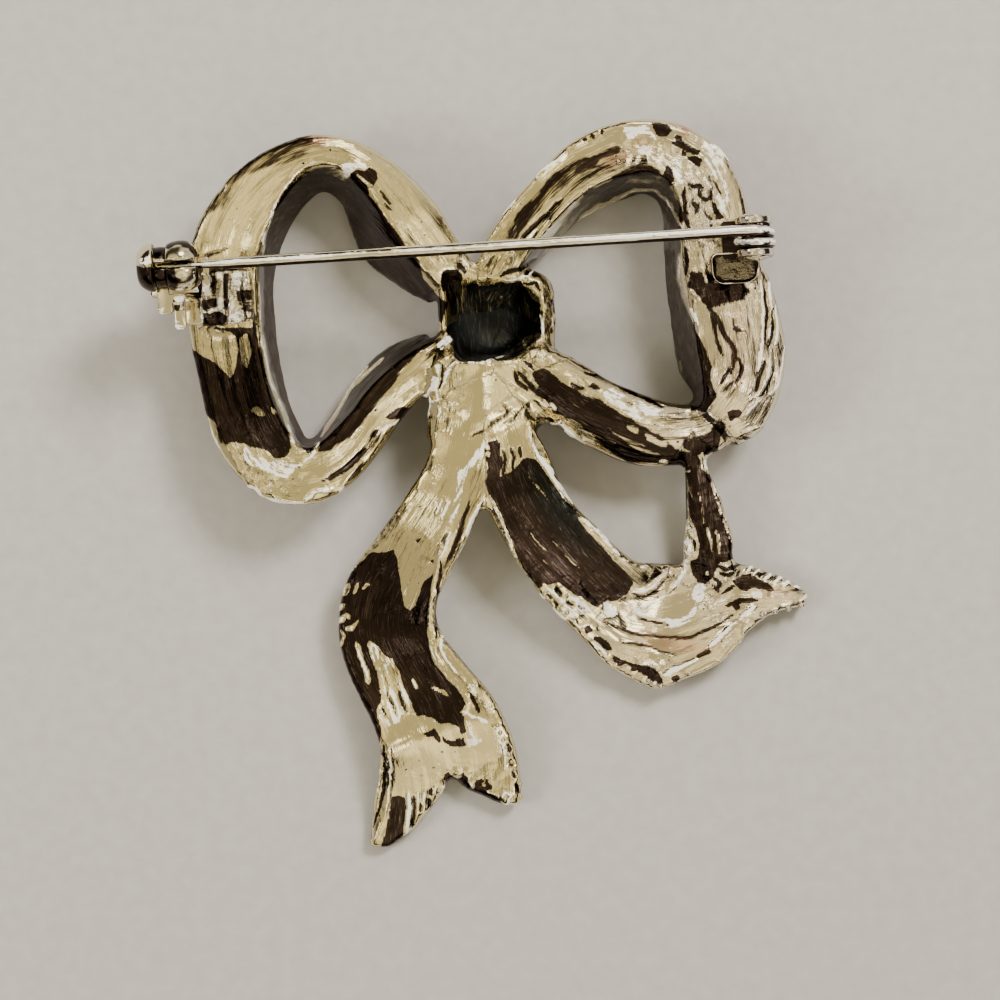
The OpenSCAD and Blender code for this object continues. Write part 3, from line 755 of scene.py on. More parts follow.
# %% Strokes of the right loop: right band
STROKES += [
    # half width, tone, height, points
    # inner edge
    (0.16, -0.9, 0.06, (14.61, 17.34), (14.61, 15.49), (15.06, 14)),
    # dark column
    (0.16, 1.2, -0.08, (15.06, 17.86), (15.06, 15.86)),
    # crumbs
    (0.16, -0.8, 0.08, (15.35, 14.75), (16.09, 14)),
    (0.13, -0.7, 0.08, (16.39, 16.01), (16.61, 15.26)),
    (0.2, -1.2, 0.06, (15.35, 13.56), (15.65, 12.97), (15.95, 12.23)),
    (0.16, -1.1, 0.06, (17.13, 8.97), (17.13, 8.23)),
    # cracks
    (0.16, 1.1, -0.1, (16.69, 13.56), (17.13, 12.97), (17.58, 12.23), (17.87, 11.56), (18.39, 10.89),
     (18.69, 10.15), (18.61, 9.26), (18.39, 8.52)),
    (0.13, 0.9, -0.1, (16.91, 12.97), (17.21, 11.93), (17.43, 10.89), (17.72, 9.86)),
    (0.13, 0.7, -0.06, (18.54, 11.93), (18.98, 11.71), (19.5, 11.71)),
    (0.13, 0.8, -0.08, (18.54, 9.86), (19.13, 9.48), (19.28, 8.97), (19.06, 8.3), (18.69, 7.78)),
    (0.13, 0.8, -0.08, (17.65, 7.78), (17.95, 8.37), (18.39, 8.89)),
    (0.13, 0.7, -0.06, (17.72, 7.19), (18.17, 7.48), (18.54, 8)),
    (0.13, 0.6, -0.05, (18.1, 6.74), (18.54, 7.11), (18.91, 7.71)),
    # soft stripes
    (0.13, 0.5, -0.05, (18.69, 12.67), (18.54, 12.15), (19.06, 11.78), (19.58, 11.63)),
    (0.13, 0.45, -0.04, (19.65, 13.71), (19.8, 12.08), (19.65, 10.6)),
    # outer ripples
    (0.16, -1.3, 0.12, (20.61, 15.49), (20.76, 13.12), (20.69, 10.67), (20.39, 8.67)),
    (0.14, -1.3, 0.12, (21.21, 15.34), (21.36, 13.56), (21.21, 10.67)),
    (0.14, -1.2, 0.12, (21.65, 13.63), (21.8, 12.15), (21.65, 10.67)),
    (0.13, 1, -0.1, (20.91, 14.75), (21.06, 12.89), (20.91, 11.04)),
    (0.13, 1, -0.1, (21.43, 13.26), (21.5, 11.78), (21.21, 10.45)),
    (0.14, -1.2, 0.1, (22.39, 10.67), (22.17, 9.19), (21.87, 7.71), (21.28, 6.97)),
    (0.14, -1.2, 0.1, (21.36, 10.3), (21.13, 8.45), (20.32, 6.97), (19.65, 6.59)),
    (0.13, -1.2, 0.1, (20.17, 8.45), (19.95, 7.48), (19.43, 6.97)),
    (0.13, 0.9, -0.08, (20.91, 9.56), (20.24, 7.19)),
    (0.13, 0.9, -0.08, (21.5, 8.45), (20.54, 6.74)),
    # lower ripples
    (0.13, -1, 0.08, (19.43, 5.48), (20.32, 6.45), (20.91, 6.82)),
    (0.13, -1, 0.08, (19.43, 4.22), (20.32, 4.52), (20.91, 4.96)),
    (0.13, 1.2, -0.1, (19.28, 3.85), (19.87, 3.63)),
    (0.13, 0.9, -0.06, (18.1, 2.82), (18.47, 3.33), (18.84, 3.33)),
    # bottom rim
    (0.14, -1.1, 0.08, (17.72, 2.52), (18.39, 2.45), (19.43, 2.67), (20.84, 3.78), (21.8, 5.11)),
]
print(len(STROKES), "strokes")

# %% [markdown]
# The band below it has a pale face between a seam and a lower rim.

# %% Strokes of the lower band
STROKES += [
    # half width, tone, height, points
    # dashes
    (0.13, 1.1, -0.08, (6.61, 7.78), (7.05, 7.48), (7.5, 7.48)),
    (0.13, 1.1, -0.08, (7.5, 8.08), (8.09, 7.63), (8.68, 7.34)),
    (0.13, -0.9, 0.06, (6.17, 8.37), (7.05, 8.23), (7.94, 7.78)),
    # seam above
    (0.13, 0.9, -0.08, (7.57, 8.67), (8.68, 8.37), (9.87, 7.85), (11.06, 7.19), (12.39, 6.59), (13.43, 6.08)),
    # in the white face
    (0.13, 0.5, -0.04, (10.61, 6.45), (11.2, 6.22)),
    (0.13, 0.5, -0.04, (11.72, 5.71), (11.87, 5.41)),
    # lower rim
    (0.14, -1.2, 0.1, (4.46, 3.63), (4.61, 4.37), (4.98, 4.82), (5.72, 4.96), (6.46, 4.22), (7.35, 3.56),
     (7.94, 3.04), (8.98, 2.15), (10.31, 1.48), (11.65, 1.11)),
    (0.16, -1.3, 0.08, (6.17, 4.37), (6.76, 4)),
    (0.13, -0.7, 0.08, (11.65, 1.19), (13.13, 0.96), (14.32, 1.04), (15.35, 1.33)),
    # fine lines
    (0.13, 0.2, 0.03, (7.65, 4.37), (8.68, 3.78), (9.87, 3.33)),
    (0.13, 0.25, 0.03, (9.28, 4.52), (10.61, 3.63), (12.09, 3.19)),
    (0.13, 0.25, 0.03, (10.76, 3.33), (12.09, 2.74), (13.28, 2.45)),
    (0.13, -1.1, 0.06, (13.13, 2), (13.72, 2)),
]
print(len(STROKES), "strokes")

# %% [markdown]
# The knot frames a dark window. Drips hang into it, and folds run down from it to the tails.

# %% Strokes of the knot
STROKES += [
    # half width, tone, height, points
    # drips
    (0.14, 0.25, 0.05, (-0.28, 15.12), (-0.43, 14.15)),
    (0.14, 0.25, 0.05, (1.42, 14.3), (1.13, 13.49)),
    (0.13, 0.2, 0.04, (1.94, 10.67), (1.87, 9.93)),
    # top lines
    (0.13, -1.2, 0.06, (-1.47, 17.04), (-0.95, 16.38)),
    (0.13, 0.6, -0.05, (0.16, 16.38), (0.9, 17.27)),
    (0.13, 0.6, -0.05, (0.53, 15.86), (1.13, 17.12)),
    # window rim
    (0.14, 1.3, -0.1, (1.27, 15.71), (1.87, 16.08), (2.76, 16.3), (3.65, 16.82), (3.94, 16.97)),
    (0.14, -1.2, 0.06, (1.65, 15.41), (2.16, 15.49), (2.76, 15.64), (3.35, 15.78), (3.72, 16.15),
     (3.94, 16.52)),
    # right strip
    (0.13, 1.1, -0.1, (3.2, 15.19), (3.94, 15.26), (4.31, 14.75)),
    (0.13, 1.1, -0.1, (5.2, 14), (4.91, 13.49)),
    (0.13, 1.1, -0.1, (5.5, 13.78), (5.2, 13.12)),
    (0.14, -1.1, 0.08, (4.31, 12.89), (4.53, 11.41)),
    (0.13, -1.1, 0.08, (5.05, 12.67), (5.13, 12.08)),
    (0.13, -1, 0.08, (5.65, 12.52), (5.72, 11.93)),
    (0.13, 1.1, -0.08, (5.87, 15.04), (5.94, 13.86), (5.79, 12.52)),
    # rippled band
    (0.14, -1.2, 0.1, (-3.76, 7.48), (-4.21, 6.89), (-4.36, 6.22)),
    (0.13, -1.2, 0.12, (-3.84, 7.26), (-3.39, 7.34), (-3.32, 6.59), (-3.76, 6.45), (-3.91, 6.89)),
    (0.13, -1.1, 0.08, (-3.32, 6.22), (-3.1, 5.71), (-3.32, 5.26)),
    (0.13, -1.1, 0.08, (-3.76, 6.37), (-4.06, 5.48), (-4.13, 4.82)),
    (0.13, 1.2, -0.1, (-3.47, 10), (-3.76, 9.11)),
    (0.13, 1.2, -0.1, (-3.02, 9.19), (-2.95, 8.23), (-3.25, 7.48)),
    (0.18, -1.2, 0.08, (-1.91, 9.48), (-2.28, 9.26), (-2.65, 8.67), (-2.8, 7.93), (-3.02, 7.48)),
    # plate, upper lip
    (0.14, -1, 0.06, (-1.91, 9.34), (-0.21, 9.34), (0.53, 9.48), (1.27, 9.78), (1.87, 9.86)),
    # crack
    (0.13, 0.55, -0.06, (-0.95, 3.78), (-0.43, 4.08), (0.16, 4.37), (0.68, 4.82), (1.13, 5.04), (1.65, 5.41),
     (2.16, 6)),
    # crackle
    (0.13, 0.4, -0.05, (1.42, 6.3), (2.02, 5.71), (2.76, 5.56)),
    (0.13, 0.4, -0.05, (1.72, 4.82), (2.46, 5.11), (3.05, 6)),
    # folds
    (0.13, 1, -0.1, (2.39, 8.67), (2.61, 7.93), (3.35, 7.34)),
    (0.13, 1, -0.1, (2.68, 8.67), (3.5, 7.71), (4.02, 6.97)),
    (0.13, 1, -0.1, (3.05, 9.41), (3.87, 8.82)),
    # sparks
    (0.2, -1.3, 0.05, (4.24, 6.45), (4.76, 6.08)),
    (0.2, -1.3, 0.05, (5.05, 6.37), (5.35, 5.93)),
    # tail root rim
    (0.14, -1.1, 0.12, (3.42, 4.96), (3.5, 3.85), (4.09, 2.52), (4.61, 1.85), (5.2, 1.19)),
    # sparks by the fork
    (0.2, -1.4, 0.05, (0.24, 3.19), (0.39, 2.96)),
    (0.2, -1.4, 0.05, (0.31, 2.67), (0.46, 2.45)),
    # fingers
    (0.13, 1, -0.1, (1.57, 2.74), (1.65, 1.85), (1.5, 1.04)),
    (0.13, 1, -0.1, (2.09, 3.04), (2.31, 2.3), (2.16, 1.41)),
    (0.13, 1, -0.1, (2.76, 3.19), (2.83, 2.3)),
]
print(len(STROKES), "strokes")

# %% [markdown]
# The left tail ends in a fork, below a crumbled band and a bright ledge.

# %% Strokes of the left tail
STROKES += [
    # half width, tone, height, points
    # fork rims
    (0.13, -1.2, 0.08, (-2.95, -0.82), (-3.25, -1.41), (-3.47, -2)),
    (0.13, -1.2, 0.08, (-2.43, -0.82), (-2.73, -1.41), (-2.95, -2.3)),
    (0.16, -1, 0.08, (-2.28, -3.04), (-2.65, -3.93), (-3.02, -4.96), (-3.32, -5.85)),
    (0.2, -1.3, 0.1, (-0.13, -0.82), (-0.5, -1.7), (-0.95, -2.59), (-1.24, -3.63), (-1.54, -4.52),
     (-1.99, -5.41), (-2.5, -6.45)),
    (0.13, 0.9, -0.06, (-0.95, -0.82), (-1.39, -2.15), (-1.99, -3.78), (-2.58, -5.26)),
    # specks
    (0.13, 0.7, -0.05, (-3.91, -5.41), (-3.62, -5.26)),
    (0.13, 0.6, -0.05, (-4.95, -3.93), (-4.65, -3.78)),
    # lines in the white
    (0.13, 1.1, -0.1, (-7.1, -14.89), (-6.8, -15.86), (-6.36, -16.75)),
    (0.13, 0.6, -0.06, (-7.62, -12.08), (-7.32, -13.56), (-7.02, -14.89)),
    (0.13, 0.3, -0.06, (-6.73, -12.97), (-6.36, -14.45), (-5.99, -15.93), (-5.69, -16.67)),
    (0.13, -0.2, -0.05, (-8.06, -11.78), (-7.77, -13.26), (-7.47, -14.89), (-7.17, -16.08)),
    (0.13, 0.9, -0.08, (-6.21, -14.89), (-5.91, -15.93), (-5.54, -16.52)),
    (0.13, 1.1, -0.1, (-7.47, -16.23), (-7.1, -16.82)),
    # bits
    (0.13, -0.8, 0.05, (-8.88, -7.34), (-8.36, -7.04)),
    (0.13, -0.8, 0.05, (-9.54, -7.78), (-9.25, -7.04)),
    (0.13, -0.9, 0.05, (-10.51, -10.45), (-10.21, -10.89), (-10.51, -11.63)),
    # spark
    (0.16, -1.3, 0.04, (-5.17, -14.08), (-4.88, -14.82)),
    # inner rim
    (0.13, -0.7, 0.1, (-3.1, -4.15), (-3.62, -6.74), (-3.91, -8.97), (-3.99, -10.45), (-3.76, -11.93),
     (-3.39, -12.97), (-2.73, -13.78), (-1.91, -14.6), (-1.32, -15.34), (-1.1, -15.93), (-1.32, -16.52)),
    # outer rim
    (0.14, -1.1, 0.1, (-2.5, -6.45), (-2.8, -8.23), (-2.95, -10.08), (-3.1, -11.93), (-2.28, -13.26),
     (-0.95, -14.52), (-0.06, -15.49), (0.53, -16.38)),
    # between them
    (0.13, 1.1, -0.1, (-3.1, -5.26), (-3.32, -8.23), (-3.47, -11.19)),
    (0.13, 1.1, -0.1, (-0.95, -15.12), (-0.21, -16.52)),
    # white corner
    (0.14, -1.3, 0.06, (-1.24, -17.12), (-0.65, -18.45), (-0.5, -19.12)),
    # in the crumbled band
    (0.13, -1.2, 0.08, (-0.95, -21.71), (-0.65, -22.16)),
    (0.13, -0.2, 0.05, (-0.13, -21.79), (0.24, -22.01)),
    # ledge
    (0.13, -0.4, 0.05, (-1.69, -22.45), (-0.21, -23.19), (1.05, -23.64)),
    # prong, whites
    (0.2, -1.3, 0.1, (-5.54, -22.67), (-5.39, -23.64), (-5.54, -24.68), (-5.69, -25.56)),
    (0.13, -1.2, 0.08, (-4.8, -22.53), (-4.73, -23.34), (-4.8, -24.16)),
    (0.16, -1.3, 0.1, (-4.21, -22.3), (-4.36, -23.19), (-4.36, -24.01)),
    (0.13, -1.2, 0.1, (-3.47, -22.01), (-3.62, -22.75)),
    (0.13, -1.2, 0.1, (-2.88, -21.93), (-3.17, -22.67)),
    # prong, darks
    (0.13, 1.2, -0.1, (-5.17, -22.82), (-5.02, -23.64), (-5.17, -25.12)),
    (0.13, 1.2, -0.1, (-4.58, -23.19), (-4.65, -23.93)),
    (0.13, 1.2, -0.1, (-3.91, -23.05), (-3.99, -23.64)),
    (0.13, 1.2, -0.1, (-3.76, -22.23), (-3.76, -22.75)),
    # prong edge
    (0.13, -0.6, 0.1, (-2.5, -22.67), (-3.91, -23.93), (-5.02, -25.27), (-6.28, -26.6), (-7.25, -27.27)),
    # lower left rims
    (0.14, -0.9, 0.12, (-6.88, -18.97), (-6.8, -20.82), (-6.88, -21.93), (-7.02, -23.05), (-7.4, -24.53),
     (-7.99, -25.86), (-8.51, -26.6)),
    (0.13, 1.2, -0.12, (-7.32, -18.97), (-7.25, -20.82), (-7.32, -22.3), (-7.62, -23.42), (-8.14, -24.97)),
    (0.13, -0.9, 0.08, (-7.84, -18.97), (-7.54, -19.86), (-7.54, -20.82), (-7.62, -21.71), (-7.91, -23.05),
     (-8.21, -24.38), (-8.65, -26.01)),
    # right edge
    (0.13, 1.2, -0.1, (1.87, -18.9), (2.02, -19.49)),
    (0.13, 1.2, -0.1, (2.09, -20.08), (2.16, -20.53)),
    (0.13, 1.2, -0.1, (2.24, -20.97), (2.39, -21.41)),
    (0.13, 1.2, -0.1, (2.53, -21.86), (2.68, -22.6)),
    (0.13, -1.2, 0.1, (0.9, -17.56), (1.2, -18.08), (1.5, -18.75), (1.65, -19.64), (1.72, -20.9)),
    # curled ring
    (0.13, -1.3, 0.12, (1.42, -22.9), (1.72, -22.45), (2.09, -22.67), (2.02, -23.19), (1.57, -23.42)),
]
print(len(STROKES), "strokes")

# %% [markdown]
# Long folds run down the right tail from its left edge to its lower rim.

# %% Strokes of the right tail
STROKES += [
    # half width, tone, height, points
    # upper rim
    (0.2, -1.4, 0.14, (4.02, 2.45), (4.68, 1.56), (5.28, 0.67), (6.17, -0.52), (7.05, -1.41)),
    (0.13, -1.1, 0.12, (7.05, -1.41), (7.94, -2.45), (8.68, -3.33), (9.57, -4.22)),
    (0.13, 0.8, -0.06, (7.5, -1.85), (8.09, -2.45), (8.54, -3.04)),
    (0.2, -0.9, 0.06, (7.35, -2.15), (8.24, -3.04), (9.13, -3.93), (10.17, -4.96)),
    # lines in the dark
    (0.13, 0.2, 0.03, (3.28, 1.26), (3.65, 0.52), (4.46, -0.22), (4.83, -0.82)),
    (0.13, 0.2, 0.03, (3.5, -3.19), (4.24, -4.15), (4.98, -4.67)),
    (0.13, 0.25, 0.03, (4.24, -5.11), (5.13, -5.85), (5.87, -6.45)),
    (0.13, 0.25, 0.03, (5.13, -3.78), (6.17, -4.96), (7.2, -5.85)),
    # left edge
    (0.13, -1, 0.1, (0.53, -0.52), (0.98, -1.41), (1.5, -2.45), (1.87, -3.48), (2.16, -4.45), (2.53, -5.11)),
    (0.13, -0.8, 0.1, (2.61, -5.41), (3.2, -6.52)),
    # crumbs
    (0.13, 1.2, -0.12, (5.42, -7.34), (5.87, -7.78)),
    (0.13, 1.2, -0.12, (4.68, -7.63), (5.28, -8.23), (5.72, -8.82)),
    (0.13, 1.1, -0.12, (6.31, -8.37), (6.76, -8.67)),
    (0.13, -1.2, 0.1, (4.24, -7.78), (4.61, -8.23)),
    (0.13, -1.2, 0.1, (5.2, -8.82), (5.72, -9.34), (6.17, -9.71)),
    (0.13, -1.2, 0.1, (6.61, -9.41), (6.91, -10), (7.35, -10.45)),
    # fold, long edge
    (0.16, -1.4, 0.14, (15.06, -5.26), (15.06, -6), (14.46, -6.74), (13.72, -7.63)),
    # fold, second edge
    (0.18, -1.3, 0.12, (11.06, -7.63), (11.8, -7.63), (12.54, -7.34), (12.83, -6.97), (13.43, -6.45),
     (13.65, -5.85)),
    # between the edges
    (0.2, 0.35, -0.04, (10.17, -8.37), (12.09, -8.08), (13.28, -7.34), (14.17, -6.3)),
    # line inside
    (0.13, 1.2, -0.08, (11.5, -9.56), (12.24, -9.78), (12.98, -9.93), (13.72, -10.15)),
    # triangle
    (0.14, -1.2, 0.1, (8.54, -9.56), (9.28, -9.48), (10.02, -9.19)),
    # left fold
    (0.13, -0.9, 0.06, (7.2, -10.23), (7.94, -9.86), (8.54, -10.3), (9.43, -10.6), (10.17, -11.19)),
    (0.13, 0.6, -0.05, (8.54, -10.3), (8.68, -10.6)),
    (0.13, 0.7, -0.06, (10.17, -9.41), (10.46, -9.86), (10.61, -10.3)),
    # fine lines
    (0.13, 0.7, -0.05, (8.98, -9.86), (11.65, -10.89), (15.35, -11.04), (16.24, -10.67), (17.21, -10.15),
     (18.47, -9.41)),
    (0.13, 0.6, -0.05, (10.17, -11.34), (11.94, -11.63), (14.02, -12.23), (15.8, -11.78)),
    # lower rim
    (0.2, -1.3, 0.12, (13.43, -13.86), (13.87, -13.56), (14.32, -13.41), (15.21, -12.97), (15.87, -12.6)),
    (0.2, -1.3, 0.12, (16.76, -11.78), (17.43, -11.19), (18.17, -10.45), (18.91, -9.78)),
    (0.2, -1.3, 0.12, (19.06, -9.71), (19.5, -9.19), (20.24, -8.74)),
    (0.16, 0.7, -0.06, (15.87, -12.52), (16.54, -12.08), (16.84, -11.93)),
    # left lower rim
    (0.2, -1.2, 0.08, (8.09, -11.19), (8.68, -11.78), (9.28, -12.37)),
    (0.16, -1.1, 0.08, (10.31, -13.12), (11.06, -13.26)),
]
print(len(STROKES), "strokes")

# %% [markdown]
# The strut joins the right loop to the right tail, which ends in a ridged spur.

# %% Strokes of the strut and spur
STROKES += [
    # half width, tone, height, points
    # strut rim
    (0.14, -1.3, 0.12, (16.98, 0.52), (17.43, -0.82), (17.95, -2.3), (18.47, -3.78), (18.91, -5.04)),
    (0.13, 0.5, 0, (17.35, -0.07), (18.17, -2.45), (18.91, -4.52)),
    # strut streaks
    (0.13, -0.3, 0.06, (16.54, -2.59), (16.84, -3.78), (16.98, -4.67)),
    (0.13, 0.1, 0.05, (15.95, -0.07), (16.24, -1.26), (16.39, -2.59)),
    (0.13, 0.2, 0.05, (15.35, 0.37), (15.65, -0.82)),
    (0.13, -0.5, 0.05, (17.28, -3.04), (17.5, -4.08), (17.58, -4.96)),
    (0.13, 0.25, 0.03, (15.13, 0.96), (15.28, -0.82), (15.35, -2.3)),
    # strut head
    (0.16, -1, 0.06, (16.32, 2.67), (16.54, 1.85), (16.69, 1.11)),
    # foot, crumbs
    (0.16, -1.3, 0.1, (14.91, -3.63), (15.35, -4.22), (15.35, -4.82)),
    (0.16, 1.2, -0.12, (14.69, -3.93), (14.83, -4.52)),
    (0.14, 1.2, -0.12, (15.65, -3.78), (15.8, -4.67)),
    # apex sparks
    (0.16, -1.3, 0.05, (16.54, -6.15), (16.69, -6.3)),
    # spur ridges
    (0.18, -1.3, 0.14, (19.5, -6.15), (19.95, -5.78), (20.39, -5.41)),
    (0.18, -1.3, 0.14, (19.95, -6.45), (20.69, -5.85), (21.28, -5.56)),
    (0.18, -1.3, 0.14, (20.84, -6.74), (21.43, -6.15), (21.8, -5.93)),
    (0.18, -1.3, 0.14, (21.43, -7.04), (22.17, -6.45), (22.54, -6.15)),
    (0.16, -1.3, 0.12, (22.32, -7.19), (22.76, -6.74), (22.99, -6.45)),
    (0.13, 0.7, -0.1, (19.95, -6.15), (20.54, -5.63), (20.99, -5.41)),
    (0.13, 0.7, -0.1, (20.54, -6.52), (21.13, -5.93), (21.65, -5.63)),
    (0.13, 0.7, -0.1, (21.28, -6.82), (21.87, -6.3), (22.32, -6)),
    # spur top edge
    (0.14, -1.3, 0.1, (18.91, -5.04), (19.35, -5.19), (19.8, -5.26)),
    # zigzag
    (0.13, 1.2, -0.1, (17.43, -5.71), (18.02, -6), (18.76, -5.71), (19.21, -5.41)),
    (0.13, 1.2, -0.1, (17.58, -6.3), (18.17, -6.45), (18.61, -6.15)),
    (0.13, 1.1, -0.1, (17.13, -6.59), (17.58, -7.04), (17.28, -7.48)),
    (0.13, 1, -0.08, (16.98, -7.04), (17.43, -7.63)),
    (0.13, 1.1, -0.1, (17.72, -7.78), (18.17, -7.48), (18.61, -7.19)),
    # spur, pale
    (0.2, -0.8, 0.04, (17.43, -8.37), (18.17, -8.08), (18.91, -7.78)),
    # spur lower edge
    (0.13, 0.5, -0.04, (21.73, -7.78), (22.76, -7.56), (24.1, -7.48)),
    (0.16, -1.2, 0.08, (23.06, -7.19), (23.8, -7.11)),
    (0.16, -1.2, 0.08, (23.65, -8.23), (24.25, -7.78), (24.69, -8.23)),
    (0.16, -1, 0.08, (21.13, -7.93), (21.73, -7.63), (22.47, -7.85)),
]
print(len(STROKES), "strokes")

# %% [markdown]
# A stroke fades to both sides and tapers to its ends. A slow shake of the whole picture keeps its
# points from being joined by straight lines. The strokes then lift or sink the skin, which never
# leaves the box of the CAD model.

# %% Laying the strokes
def to_line(co, start, end):
    """For points in plan: how far along the line they lie, from 0 to 1, and how far off it."""
    (x0, y0), (x1, y1) = start, end
    dx, dy = x1 - x0, y1 - y0
    t = np.clip(((co[:, 0] - x0) * dx + (co[:, 1] - y0) * dy) / (dx * dx + dy * dy), 0, 1)
    return t, np.hypot(co[:, 0] - x0 - t * dx, co[:, 1] - y0 - t * dy)


def near_box(co, points, margin):
    """The numbers of the points that lie in the box round an outline."""
    points = np.array(points)
    return ((co > points.min(0) - margin) & (co < points.max(0) + margin)).all(1).nonzero()[0]


def stroke_reach(co, half, points):
    """How fully each point lies on the stroke, from 0 to 1: strokes are soft and taper at their ends."""
    reach = np.zeros(len(co))
    count = len(points) - 1
    for k, ends in enumerate(zip(points, points[1:])):
        box = near_box(co, ends, 3 * half)
        t, gap = to_line(co[box], *ends)
        taper = 1 - 0.6 * np.abs(2 * (k + t) / count - 1) ** 4
        reach[box] = np.maximum(reach[box], np.exp(-(gap / (half * taper)) ** 2))
    return reach


def patch_reach(co, soft, outline):
    """1 inside the outline and 0 outside, with a soft edge."""
    box = near_box(co, outline, soft)
    part = co[box]
    inside = np.zeros(len(box), bool)
    gap = np.full(len(box), 1e3)
    for (x0, y0), (x1, y1) in zip(outline, outline[1:] + outline[:1]):
        gap = np.minimum(gap, to_line(part, (x0, y0), (x1, y1))[1])
        if y0 != y1:
            level = (y0 > part[:, 1]) != (y1 > part[:, 1])
            inside ^= level & (part[:, 0] < x0 + (x1 - x0) * (part[:, 1] - y0) / (y1 - y0))
    reach = np.zeros(len(co))
    reach[box] = np.clip(0.5 + np.where(inside, gap, -gap) / (2 * soft), 0, 1)
    return reach * reach * (3 - 2 * reach)


def facing(normals):
    """1 where the camera can see the skin."""
    return rise(normals[:, 2], -0.25, -0.05)


in_view = facing(normals)
wobble = [0.08 * noise.noise_vector(v.co * 1.1) + 0.05 * noise.noise_vector(v.co * 3.4) for v in bm.verts]
shaky = seen(co) + np.array([shift[:2] for shift in wobble])
strokes = [(stroke_reach(shaky, half, points) * in_view, tone, height)
           for half, tone, height, *points in STROKES]
for reach, tone, height in strokes:
    lift += reach * height
low, high = (np.array(corner) / MM for corner in cad_box)
put(bm, np.clip(co + normals * lift[:, None], low, high))
print(len(strokes), "strokes, lifting by", round(lift.min(), 2), "to", round(lift.max(), 2), "mm")
